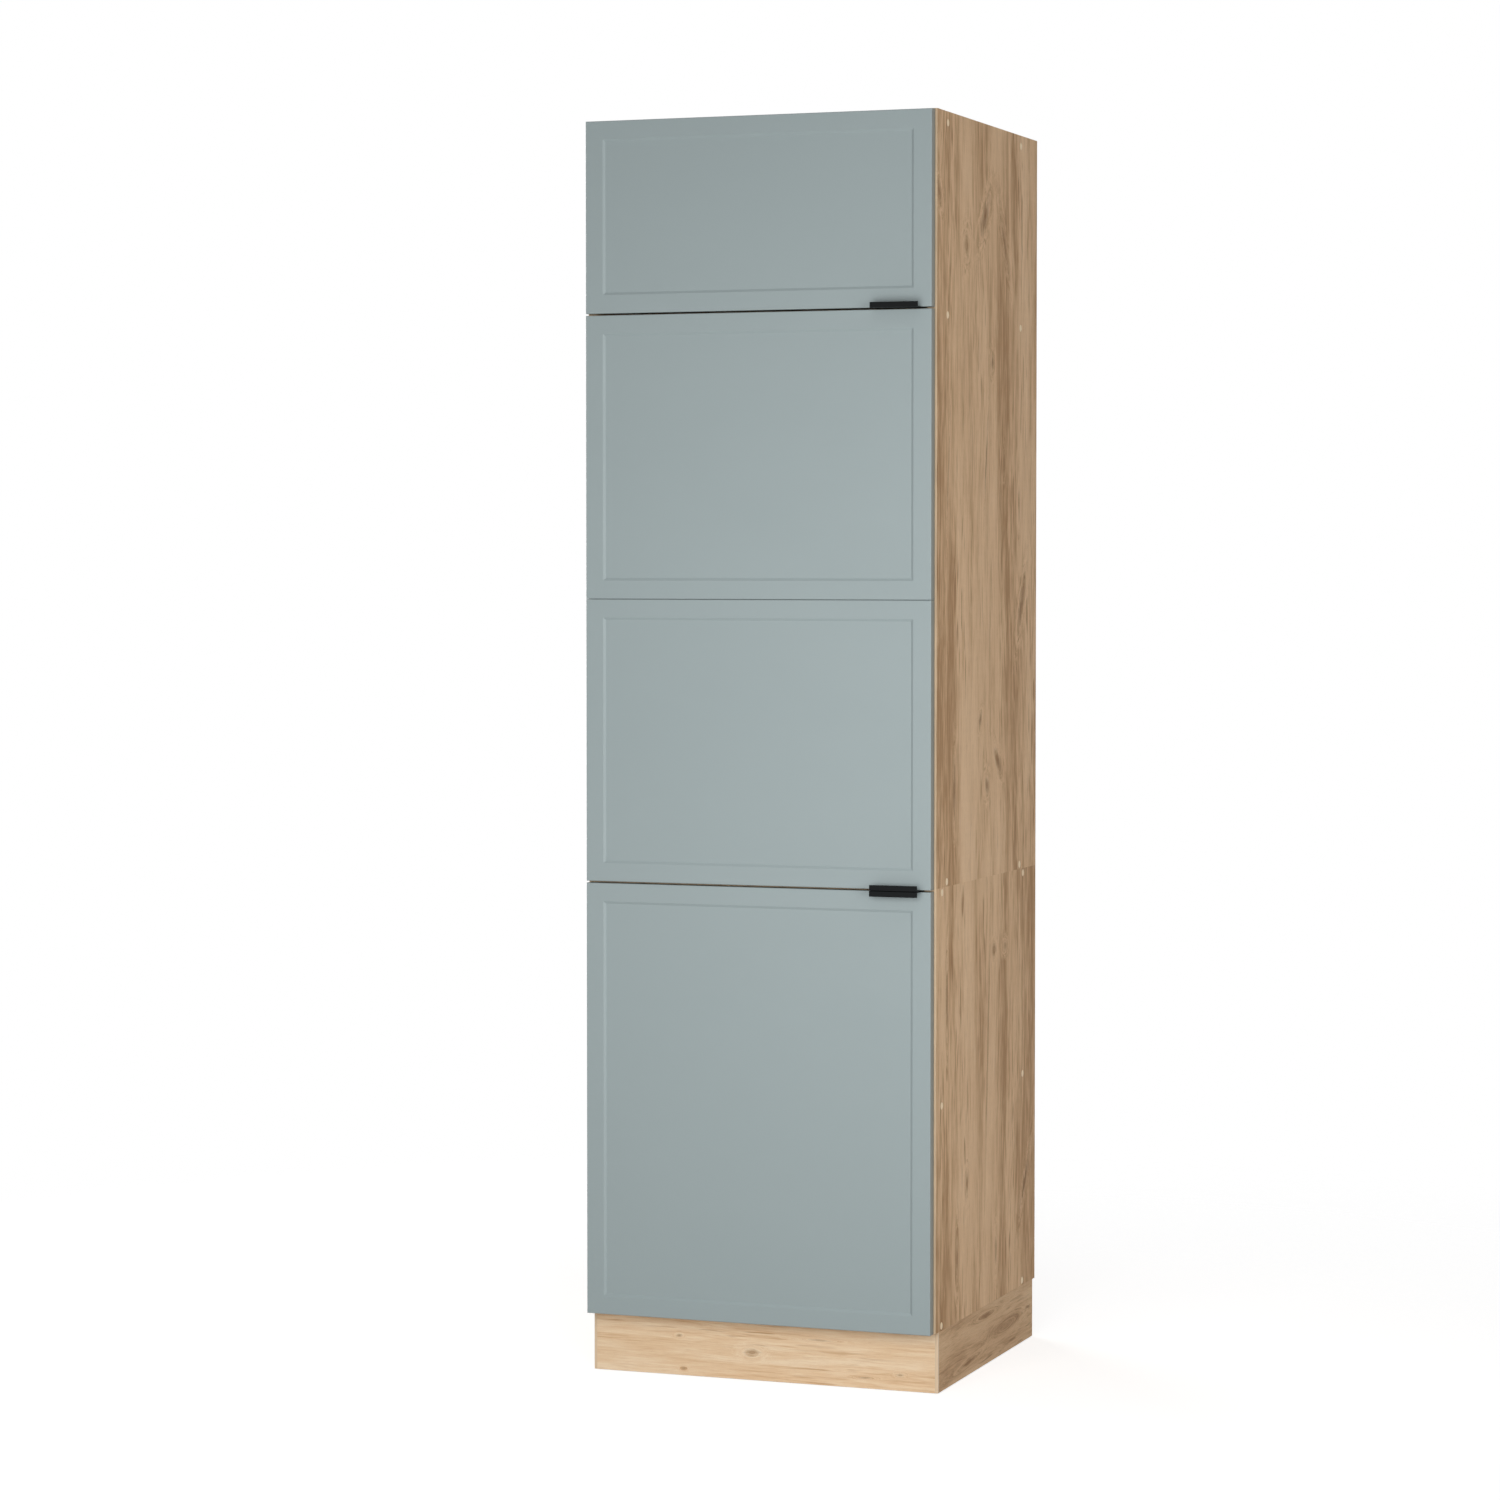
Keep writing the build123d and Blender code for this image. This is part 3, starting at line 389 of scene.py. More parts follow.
class Coat(Wiring):
    """A material under construction, from the place on the object to the shader."""

    smudge_range = (0.3, 0.7)
    square_range = (0.9, 0.95)
    shown = ("Base Color", "Roughness", "Specular IOR Level", "Metallic")

    def __init__(self, title: str) -> None:
        """Starts the material with its shader, and the object's place and normal.

        Args:
            title: The material's name.
        """
        self.material = bpy.data.materials.new(title)
        self.material.use_nodes = True
        super().__init__(self.material.node_tree)
        shader = self.add("ShaderNodeBsdfPrincipled")
        self.add("ShaderNodeOutputMaterial", {"Surface": shader.outputs[0]})
        self.shader = shader.inputs
        spot = self.add("ShaderNodeTexCoord").outputs
        self.place, self.normal = spot["Object"], spot["Normal"]

    def relief(self, height: Any, depth: float, arris: float) -> Any:
        """Feeds the normal with a bump over softened arrises.

        Args:
            height: The bump's height, about 0 to 1.
            depth: How deep the bump is, in metres.
            arris: The radius of the arrises, in metres.

        Returns:
            The mask of the softened arrises.
        """
        soft = SoftArris.place(self, radius=arris)
        feeds = {"Height": height, "Distance": depth, "Normal": soft["normal"]}
        self.feed(self.shader["Normal"], self.add("ShaderNodeBump", feeds).outputs[0])
        return soft["edge"]

    def faces(self, way: Point) -> Socket:
        """Returns a mask of the faces that look a given way."""
        return self.spread(self.vector("DOT_PRODUCT", self.normal, way), *self.square_range)

    def texture(self, cells: float, depth: float, arris: float) -> tuple[Any, Any]:
        """Adds the fine texture, and returns the noise of smudges and the mask of arrises."""
        fine = FineSurface.place(self, place=self.place, cells=cells)
        return fine["smudge"], self.relief(fine["height"], depth, arris)

    def dusted(self, colour: Any, amount: float, dust: Colour) -> Socket:
        """Returns the colour with dust on the faces that look upwards."""
        mask = Dust.place(self, place=self.place, amount=amount)["mask"]
        return self.blend(mask, colour, dust)

    def show(self, colour: Any, roughness: Any, specular: float = 0.5, metal: float = 0.0) -> None:
        """Feeds the shader: how matt the face is, how it reflects, and one for bare metal."""
        for name, value in zip(self.shown, (colour, roughness, specular, metal)):
            self.feed(self.shader[name], value)


class Grain(Enum):
    """Which way the oak figure runs, as the order of X, Y and Z that puts it first."""

    LEVEL_BOARD = (0, 1, 2)
    FRONT_BOARD = (0, 2, 1)
    SIDE_BOARD = (1, 2, 0)
    UPRIGHT = (2, 1, 0)

    def turn(self, coat: Coat) -> Socket:
        """Returns the place on the board, reordered so that its X runs along the grain."""
        parts = coat.split(coat.place)
        return coat.join({slot: parts[axis] for slot, axis in enumerate(self.value)})


class Facing(Enum):
    """The two broad faces of a board, by the direction through its thickness."""

    SIDEWAYS = ALONG_X
    FRONT = ALONG_Y
    LEVEL = ALONG_Z


class Knot(NamedTuple):
    """A knot in the oak: where it is, how far it reaches each way, its lean and its depth."""

    along: float
    across: float
    length: float
    width: float
    lean: float = 0.0
    depth: float = 0.7


@dataclass(frozen=True)
class Finish:
    """A procedural finish, with the name of the material slot that it belongs to."""

    title: str
    slot: str
    arris: float = 0.0008

    def material(self) -> bpy.types.Material:
        """Makes the finish's material on the first call.

        Returns:
            The material.
        """
        ready = bpy.data.materials.get(self.title)
        if ready:
            return ready
        coat = Coat(self.title)
        self.paint(coat)
        return coat.material

    def paint(self, coat: Coat) -> None:
        """Adds the finish's nodes to its material."""
        raise NotImplementedError


@dataclass(frozen=True)
class OakBoard(Finish):
    """Oak decor on the broad faces, edge band on the front edge, chipboard on the rest."""

    slot: str = "oak_board"
    grain: Grain = Grain.UPRIGHT
    facing: Facing = Facing.SIDEWAYS
    shift: Point = (0.0, 0.0, 0.0)
    knots: tuple[Knot, ...] = ()
    banded: bool = True
    pale_band: Range = (-9.0, 9.0)
    blur: float = 0.02
    cut_range: Range = (0.75, 0.7)
    height_range: Range = (-1.0, 0.5)
    lift_range: Range = (0.012, -0.034)
    fineness: float = 1.0
    depth: float = 0.00006
    roughness: Range = (0.62, 0.5)
    specular: float = 0.06
    dustiness: float = 0.12
    decor_on_band: float = 0.35
    mark: Colour = tint(156, 114, 74)
    dark: Colour = tint(178, 138, 97)
    middle: Colour = tint(229, 192, 151)
    pale: Colour = tint(243, 208, 169)
    heart: Colour = tint(126, 84, 42)
    band: Colour = tint(218, 199, 172)
    dust: Colour = tint(212, 206, 196)

    def paint(self, coat: Coat) -> None:
        """Adds the oak decor, the edge band and the core.

        The decor is lifted inside the pale band and lowered outside it.

        Args:
            coat: The material under construction.
        """
        grain, hearts = self.grain.turn(coat), 0.0
        for knot in self.knots:
            centre, reach = (knot.along, knot.across, 0.0), (knot.length, knot.width, 1e3)
            bent = WoodKnot.place(coat, grain=grain, centre=centre, reach=reach, lean=knot.lean)
            grain = bent["grain"]
            hearts = coat.math("MAXIMUM", hearts, coat.times(bent["mask"], knot.depth))
        start, end = self.pale_band
        half = (end - start) / 2
        aside = coat.math("SUBTRACT", coat.split(grain)[1], (start + end) / 2)
        off = coat.math("ABSOLUTE", aside)
        fine = (1.0, self.fineness, self.fineness)
        figure = WoodFigure.place(
            coat,
            grain=coat.vector("MULTIPLY_ADD", grain, fine, self.shift),
            lift=coat.spread(off, half - self.blur, half + self.blur, *self.lift_range),
            mark=self.mark,
            dark=self.dark,
            middle=self.middle,
            pale=self.pale,
        )
        decor = coat.blend(hearts, figure["colour"], self.heart)
        core = ChipCore.place(coat, place=coat.place)["colour"]
        through = coat.vector("DOT_PRODUCT", coat.normal, self.facing.value)
        cut = coat.spread(coat.math("ABSOLUTE", through), *self.cut_range)
        colour = coat.blend(cut, decor, core)
        if self.banded:
            strip = coat.blend(self.decor_on_band, self.band, figure["colour"])
            colour = coat.blend(coat.faces(AGAINST_Y), colour, strip)
        height = figure["height"]
        coat.relief(height, self.depth, self.arris)
        colour = coat.dusted(colour, self.dustiness, self.dust)
        rough = coat.spread(height, *self.height_range, *self.roughness)
        coat.show(colour, rough, self.specular)


@dataclass(frozen=True)
class Lacquer(Finish):
    """Smooth matt lacquer on fibreboard, with edge faces painted darker (partly a duller edge coat,
    partly painted shade), painted highlights on the arrises, and a plain backing.
    """

    slot: str = "front_lacquer"
    colour: Colour = tint(155, 167, 168)
    cloud: Colour = tint(140, 152, 154)
    # Edge grey: partly a duller edge coat, partly painted shade on the edge faces.
    edge: Colour = tint(134, 136, 128)
    # Painted highlight on the lacquer's arrises: they are blended towards this paler tone.
    wear_and_highlight: Colour = tint(186, 194, 194)
    backing: Colour = tint(196, 200, 198)
    back_plane: float = -0.2622
    edge_range: Range = (0.2, 0.1)
    clouds: float = 0.06
    arris_highlight: float = 0.12
    cells: float = 620.0
    depth: float = 0.000012
    roughness: Range = (0.46, 0.54)
    specular: float = 0.35

    def paint(self, coat: Coat) -> None:
        """Adds the lacquer, its edges with painted shade, painted highlights on its arrises, and
        the backing.

        Args:
            coat: The material under construction.
        """
        smudge, arris = coat.texture(self.cells, self.depth, self.arris)
        cloudy = coat.spread(smudge, *coat.smudge_range, 0.0, self.clouds)
        shade = coat.blend(cloudy, self.colour, self.cloud)
        # Painted shade: faces that don't look to the front are blended towards the darker edge
        # grey.
        outward = coat.vector("DOT_PRODUCT", coat.normal, ALONG_Y)
        shaded_edges = coat.spread(coat.math("ABSOLUTE", outward), *self.edge_range)
        shade = coat.blend(shaded_edges, shade, self.edge)
        # Painted highlight: the arrises are lightened.
        shade = coat.blend(coat.times(arris, self.arris_highlight), shade, self.wear_and_highlight)
        on_back = coat.math("GREATER_THAN", coat.split(coat.place)[1], self.back_plane)
        behind = coat.times(coat.faces(ALONG_Y), on_back)
        rough = coat.spread(smudge, *coat.smudge_range, *self.roughness)
        coat.show(coat.blend(behind, shade, self.backing), rough, self.specular)


@dataclass(frozen=True)
class Coated(Finish):
    """A plain coat, moulding or rubber of one colour with fine texture and rubbed edges."""

    colour: Colour = tint(30, 32, 34)
    rubbed: Colour = tint(90, 92, 94)
    dust: Colour = tint(190, 186, 178)
    rub: float = 0.25
    rub_range: Range = (0.35, 0.7)
    roughness: Range = (0.4, 0.5)
    cells: float = 1400.0
    depth: float = 0.00003
    dustiness: float = 0.15
    specular: float = 0.5

    def paint(self, coat: Coat) -> None:
        """Adds the coat with its texture, rubbed arrises and dust.

        Args:
            coat: The material under construction.
        """
        smudge, edge = coat.texture(self.cells, self.depth, self.arris)
        wear_and_highlight = coat.times(edge, coat.spread(smudge, *self.rub_range, 0.0, self.rub))
        colour = coat.blend(wear_and_highlight, self.colour, self.rubbed)
        colour = coat.dusted(colour, self.dustiness, self.dust)
        rough = coat.spread(smudge, *coat.smudge_range, *self.roughness)
        coat.show(colour, rough, self.specular)


@dataclass(frozen=True)
class Plated(Finish):
    """Plated steel: spangled tone, with a duller film in patches."""

    colour: Colour = tint(196, 196, 192)
    film: Colour = tint(150, 150, 146)
    spangle: float = 260.0
    spangle_weight: float = 0.35
    film_range: Range = (0.35, 0.7)
    film_share: float = 0.5
    share_range: Range = (0.0, 0.8)
    roughness: Range = (0.28, 0.42)
    cells: float = 2200.0
    depth: float = 0.000015

    def paint(self, coat: Coat) -> None:
        """Adds the plating with its crystals and film.

        Args:
            coat: The material under construction.
        """
        smudge, _ = coat.texture(self.cells, self.depth, self.arris)
        film = coat.spread(smudge, *self.film_range, 0.0, self.film_share)
        tone = coat.cells(coat.place, self.spangle)
        share = coat.math("MULTIPLY_ADD", tone, self.spangle_weight, film)
        rough = coat.spread(share, *self.share_range, *self.roughness)
        coat.show(coat.blend(share, self.colour, self.film), rough, metal=1.0)


@dataclass(frozen=True)
class Hardboard(Finish):
    """Thin hardboard: oak print on the inside, brown pressed fibre on the outside."""

    slot: str = "back_panel"
    fibre_pale: Colour = tint(158, 124, 90)
    fibre_dark: Colour = tint(112, 82, 56)
    print_dark: Colour = tint(164, 132, 98)
    print_middle: Colour = tint(203, 172, 136)
    print_pale: Colour = tint(220, 194, 160)
    fibres: Layer = Layer((420.0, 420.0, 260.0), 6.0, 0.7)
    tone_range: Range = (0.3, 0.7)
    rough_range: Range = (0.2, 0.8)
    depth: float = 0.00012
    roughness: Range = (0.62, 0.78)

    def paint(self, coat: Coat) -> None:
        """Adds the oak print and the fibre.

        Args:
            coat: The material under construction.
        """
        figure = WoodFigure.place(
            coat,
            grain=Grain.UPRIGHT.turn(coat),
            mark=self.print_dark,
            dark=self.print_dark,
            middle=self.print_middle,
            pale=self.print_pale,
        )
        fibres = coat.noise(coat.place, self.fibres)
        share = coat.spread(fibres, *self.tone_range)
        raw = coat.blend(share, self.fibre_dark, self.fibre_pale)
        inward = coat.faces(AGAINST_Y)
        coat.relief(fibres, self.depth, self.arris)
        rough = coat.spread(fibres, *self.rough_range, *self.roughness)
        coat.show(coat.blend(inward, raw, figure["colour"]), rough)


UPPER_KNOTS = (
    Knot(1.907, -0.002, 0.044, 0.022, 0.62, 0.8),
    Knot(1.853, -0.103, 0.026, 0.020, 0.0, 0.3),
    Knot(1.930, -0.252, 0.026, 0.014, -0.5),
    Knot(1.880, 0.104, 0.060, 0.012, -0.5, 0.35),
    Knot(1.668, 0.042, 0.018, 0.012),
    Knot(1.268, 0.212, 0.060, 0.016, 0.4, 0.8),
    Knot(1.007, 0.075, 0.026, 0.018, -0.7),
    Knot(0.969, 0.015, 0.020, 0.015),
    Knot(0.966, -0.166, 0.060, 0.009),
    Knot(1.079, -0.023, 0.016, 0.010, 0.4),
    Knot(1.512, 0.008, 0.080, 0.006, 0.125, 0.6),
    Knot(1.478, -0.200, 0.090, 0.005, 0.1, 0.45),
    Knot(1.502, 0.108, 0.022, 0.006, 0.0, 0.6),
    Knot(1.436, 0.196, 0.034, 0.006, 0.0, 0.5),
)
LOWER_KNOTS = (
    Knot(0.691, 0.057, 0.013, 0.014, 0.0, 0.55),
    Knot(0.692, 0.120, 0.012, 0.013, 0.0, 0.5),
    Knot(0.279, 0.240, 0.052, 0.014, 0.55, 0.8),
    Knot(0.320, -0.092, 0.026, 0.010, 0.0, 0.5),
    Knot(0.632, -0.202, 0.070, 0.008),
    Knot(0.183, 0.070, 0.034, 0.009, 0.0, 0.5),
    Knot(0.205, -0.146, 0.046, 0.009, 0.0, 0.5),
    Knot(0.540, 0.023, 0.200, 0.005, 0.063, 0.5),
)
FAR_UPPER_KNOTS = (
    Knot(1.700, 0.090, 0.070, 0.026),
    Knot(1.120, -0.120, 0.045, 0.020),
    Knot(1.480, 0.180, 0.030, 0.014),
)
PLINTH_KNOTS = (
    Knot(-0.020, 0.046, 0.016, 0.008, 0.0, 0.5),
    Knot(-0.148, 0.066, 0.006, 0.003, 0.0, 0.45),
    Knot(-0.140, 0.012, 0.006, 0.003, 0.0, 0.5),
    Knot(0.176, 0.018, 0.014, 0.002, 0.0, 0.5),
    Knot(0.235, 0.026, 0.007, 0.003, 0.0, 0.4),
    Knot(0.096, 0.074, 0.030, 0.002, 0.0, 0.35),
)
PLINTH_SIDE_KNOTS = (
    Knot(0.135, 0.046, 0.080, 0.012, 0.05, 0.35),
    Knot(-0.080, 0.022, 0.070, 0.006, 0.08),
    Knot(0.020, 0.083, 0.050, 0.005),
)

UPPER_SIDE_OAK = OakBoard("oak_upper_right", knots=UPPER_KNOTS, pale_band=(-0.150, 0.085))
LOWER_SIDE_OAK = OakBoard(
    "oak_lower_right", knots=LOWER_KNOTS, shift=(3.0, 0.7, 0.0), pale_band=(-0.115, 0.085)
)
FAR_UPPER_OAK = OakBoard("oak_upper_left", knots=FAR_UPPER_KNOTS, shift=(7.0, 2.1, 0.0))
FAR_LOWER_OAK = OakBoard("oak_lower_left", shift=(9.0, 4.4, 0.0))
LEVEL_OAK = OakBoard(
    "oak_level", grain=Grain.LEVEL_BOARD, facing=Facing.LEVEL, shift=(2.0, 1.0, 0.0)
)
# Painted light: the plinth front's palette is paler than the same oak on the sides, making up for
# the shade under the doors.
PLINTH_OAK_PAINTED_LIGHT = OakBoard(
    "oak_plinth_painted_light",
    grain=Grain.FRONT_BOARD,
    facing=Facing.FRONT,
    banded=False,
    knots=PLINTH_KNOTS,
    shift=(5.0, 0.0, 0.0),
    fineness=1.7,
    mark=tint(190, 146, 102),
    dark=tint(206, 163, 119),
    middle=tint(238, 206, 168),
    pale=tint(249, 225, 193),
)
# Painted shade: the plinth sides' palette is darker than the same oak on the carcass sides.
PLINTH_SIDE_OAK_PAINTED_SHADE = OakBoard(
    "oak_plinth_side_painted_shade",
    grain=Grain.SIDE_BOARD,
    banded=False,
    knots=PLINTH_SIDE_KNOTS,
    shift=(6.0, 0.0, 0.0),
    fineness=1.4,
    mark=tint(140, 102, 66),
    dark=tint(162, 124, 88),
    middle=tint(215, 179, 139),
    pale=tint(229, 196, 157),
)
HARDBOARD = Hardboard("hardboard")
LACQUER = Lacquer("matt_lacquer")
PULL_BLACK = Coated(
    "black_powder_coat",
    "pull_black",
    arris=0.0004,
    colour=tint(13, 15, 16),
    rubbed=tint(52, 54, 56),
    dustiness=0.03,
    specular=0.09,
)
# Partly the caps' own pale colour, partly a painted highlight: the tone is set near white.
CAP_PLASTIC_WITH_HIGHLIGHT = Coated(
    "cap_moulding_painted_highlight",
    "cap_plastic",
    colour=tint(252, 226, 186),
    rubbed=tint(255, 238, 206),
    dustiness=0.0,
)
BEAD_PLASTIC = Coated(
    "bead_moulding",
    "bead_plastic",
    colour=tint(226, 200, 168),
    rubbed=tint(232, 208, 178),
    dustiness=0.0,
)
FOOT_PLASTIC = Coated(
    "foot_moulding",
    "foot_plastic",
    arris=0.0006,
    colour=tint(38, 38, 40),
    cells=700.0,
    depth=0.00006,
)
BUMPER_RUBBER = Coated(
    "soft_bumper",
    "bumper_rubber",
    colour=tint(206, 206, 200),
    rubbed=tint(220, 220, 214),
    roughness=(0.25, 0.35),
    dustiness=0.0,
)
# Painted shade: a grey sheet behind the middle door's joint, put there so that the seam shows even
# shade.
SEAM_SHADE_SHEET = Coated(
    "seam_shade_sheet",
    "bumper_rubber",
    colour=tint(150, 154, 153),
    rubbed=tint(170, 174, 173),
    roughness=(0.6, 0.7),
    dustiness=0.0,
    specular=0.2,
)
HINGE_NICKEL = Plated("nickel_plating", "hinge_nickel", arris=0.0004, spangle=900.0)
ZINC_STEEL = Plated(
    "zinc_plating", "zinc_steel", arris=0.0005, colour=tint(190, 194, 196), film=tint(138, 144, 148)
)
FASTENER_STEEL = Plated(
    "fastener_plating",
    "fastener_steel",
    arris=0.0002,
    colour=tint(188, 188, 182),
    film=tint(150, 148, 136),
    spangle=1400.0,
)


def dress(finish: Finish, *nodes: str) -> None:
    """Gives CAD nodes their finish.

    Args:
        finish: The finish.
        *nodes: The names of the nodes that it covers all over.
    """
    for node in nodes:
        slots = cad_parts[node].data.materials
        slots.clear()
        slots.append(finish.material())


def put(title: str, data: bpy.types.ID) -> bpy.types.Object:
    """Puts an object into the scene.

    Args:
        title: The object's name.
        data: Its mesh, lamp or camera.

    Returns:
        The new object.
    """
    made = bpy.data.objects.new(title, data)
    bpy.context.collection.objects.link(made)
    return made


def thread_wave(height: np.ndarray, pitch: float, angle: np.ndarray) -> np.ndarray:
    """Returns the run of a thread, from 1 at its crest to 0 and back once in each pitch."""
    return np.abs(((height / pitch - angle / FULL_TURN) % 1.0) * 2.0 - 1.0)


@dataclass
class Surface:
    """Points on a grid and the faces between them."""

    points: np.ndarray
    faces: list[list[int]]
    crease: ClassVar[float] = math.radians(35.0)

    @staticmethod
    def strip(share: np.ndarray, rise: np.ndarray, ends: Range) -> "Surface":
        """A closed strip along X with a flat underside and the same outline at both ends.

        Point i of the outline stands at its rise along Y and its share along Z.

        Args:
            share: The outline's places along Z, rising.
            rise: Its place along Y at each of them, the same at the first and last.
            ends: Where the strip starts and ends along X.

        Returns:
            The closed surface.
        """
        count = len(share)
        rows = [np.stack([np.full(count, end), rise, share], axis=-1) for end in ends]
        here = np.arange(count - 1)
        quads = np.stack([here, here + 1, here + 1 + count, here + count], axis=-1).tolist()
        under = [0, count, 2 * count - 1, count - 1]
        caps = [np.arange(count)[::-1].tolist(), np.arange(count, 2 * count).tolist()]
        return Surface(np.concatenate(rows), [*quads, under, *caps])

    @staticmethod
    def turned(rings: Iterable[tuple[Any, Any]], angle: np.ndarray) -> "Surface":
        """A closed shape of rings round the Z axis, from its top ring to its lowest one.

        A point of a ring at angle a stands at its radius times (cos a, sin a) and at its
        height. The first and last ring close in a pole at their own mean height.

        Args:
            rings: Radius and height of each ring, for all angles or for each.
            angle: The angles, rising, over one full turn.

        Returns:
            The closed surface.
        """
        full = np.array([(radius + 0 * angle, height + 0 * angle) for radius, height in rings])
        radius, height = full[:, 0], full[:, 1]
        walls = np.stack([radius * np.cos(angle), radius * np.sin(angle), height], axis=-1)
        poles = np.array([[0.0, 0.0, height[0].mean()], [0.0, 0.0, height[-1].mean()]])
        here = np.arange(radius.size).reshape(radius.shape)
        beside = np.roll(here, -1, axis=1)
        quads = np.stack([here[:-1], here[1:], beside[1:], beside[:-1]], axis=-1).reshape(-1, 4)
        top = np.full(len(angle), radius.size)
        cover = np.stack([top, here[0], beside[0]], axis=-1)
        under = np.stack([top + 1, beside[-1], here[-1]], axis=-1)
        faces = quads.tolist() + cover.tolist() + under.tolist()
        return Surface(np.concatenate([walls.reshape(-1, 3), poles]), faces)

    @staticmethod
    def joined(*parts: "Surface") -> "Surface":
        """Joins surfaces into one.

        Args:
            *parts: The surfaces.

        Returns:
            The joined surface.
        """
        starts = np.cumsum([0, *(len(part.points) for part in parts)]).tolist()
        faces = [
            [start + i for i in face] for start, part in zip(starts, parts) for face in part.faces
        ]
        return Surface(np.concatenate([part.points for part in parts]), faces)

    def at(self, places: Sequence[Point], axes: Any) -> "Surface":
        """Copies the surface to each place, with its Z axis along the direction given there.

        The X direction is square to it and lies level, or along X for an upright one.

        Args:
            places: One place for each copy.
            axes: One unit direction for each copy, or one for all.

        Returns:
            All the copies as one surface.
        """
        origins = np.array(places)
        axes = np.broadcast_to(axes, origins.shape)
        level = np.stack([-axes[:, 1], axes[:, 0], np.zeros(len(axes))], axis=-1)
        level[np.linalg.norm(level, axis=1) < 1e-9] = ALONG_X
        turns = np.stack([level, np.cross(axes, level), axes], axis=-1)
        points = np.einsum("kij,pj->kpi", turns, self.points) + origins[:, None, :]
        size = len(self.points)
        faces = [[k * size + i for i in face] for k in range(len(origins)) for face in self.faces]
        return Surface(points.reshape(-1, 3), faces)

    def piece(self, title: str, finish: Finish, body: str, *nodes: str) -> None:
        """Puts the surface into the scene as a finished piece, with its place in its mesh.

        Args:
            title: The piece's name.
            finish: Its finish.
            body: The CAD body that it moves with.
            *nodes: The CAD nodes that it stands for.
        """
        mesh = bpy.data.meshes.new(title)
        mesh.from_pydata(self.points, [], self.faces)
        mesh.materials.append(finish.material())
        mesh.shade_smooth()
        mesh.set_sharp_from_angle(angle=self.crease)
        made = put(title, mesh)
        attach(made, body)
        if nodes:
            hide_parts(*nodes)
        log.info("%s: %d faces on %s", title, len(self.faces), body)


class Head(Enum):
    """The kinds of screw head, flush with the seat or standing on it, by the rings of the rim.

    A ring has its share of the head's radius, and its height as a share of the head's height
    plus a share of the head's radius.
    """

    SUNK = ((0.95, 1.0, 0.0), (1.0, 0.0, -0.03))
    ROUND = ((0.75, 1.0, 0.0), (0.93, 0.72, 0.0), (1.0, 0.3, 0.0), (1.0, 0.0, 0.0))


@dataclass(frozen=True)
class Screw:
    """A wood screw with a cross recess and a running thread, in metres.

    Its seat is at the origin and its point looks down. The recess is given in shares of the
    head's radius, and the thread in shares of the shank's.
    """

    radius: float
    head_radius: float
    length: float
    head: Head = Head.SUNK
    head_height: float = 0.0
    arm_angles: ClassVar[tuple[float, ...]] = (-45.0, -30.0, -15.0, -8.0, 0.0, 8.0, 15.0, 30.0)
    arm_reach: ClassVar[float] = 0.62
    arm_half_width: ClassVar[float] = 0.13
    recess_depth: ClassVar[float] = 0.55
    recess_floor: ClassVar[float] = 0.4
    root: ClassVar[float] = 0.72
    tip: ClassVar[float] = 0.05
    pitch: ClassVar[float] = 0.9
    steps_in_pitch: ClassVar[int] = 4

    def surface(self) -> Surface:
        """Works out the screw.

        The recess outline at angle f from its nearest arm is the smaller of the arm's reach
        over cos f and half its width over sin f. The thread's radius is its root plus a
        share of its depth that rises and falls once per pitch, shifted by the angle.

        Returns:
            The screw's closed surface.
        """
        quarter = np.radians(self.arm_angles)
        angle = np.concatenate([quarter + turn * math.pi / 2 for turn in range(4)])
        off_arm = np.abs(np.tile(quarter, 4))
        size, top = self.head_radius, self.head_height
        reach, half = self.arm_reach * size, self.arm_half_width * size
        recess = np.minimum(reach / np.cos(off_arm), half / np.maximum(np.sin(off_arm), 1e-6))
        under = self.radius - size if self.head is Head.SUNK else 0.0
        pitch = self.pitch * self.radius
        turns = round((self.length + under - self.radius) / pitch)
        steps = turns * self.steps_in_pitch + 1
        down = np.linspace(under, self.radius - self.length, steps)[:, None]
        wave = thread_wave(down, pitch, angle)
        shank = self.radius * (self.root + (1.0 - self.root) * wave**2)
        rings = [
            (self.recess_floor * recess, top - self.recess_depth * size),
            (recess, top),
            *((share * size, rise * top + drop * size) for share, rise, drop in self.head.value),
            (self.root * self.radius, under),
            *zip(shank, down),
            (self.tip * self.radius, -self.length),
        ]
        return Surface.turned(rings, angle)

    def drive(self, title: str, body: str, node: str, places: Sequence[Point], axes: Any) -> None:
        """Makes one piece of screws like this one, which stands for a CAD node on a body."""
        self.surface().at(places, axes).piece(title, FASTENER_STEEL, body, node)


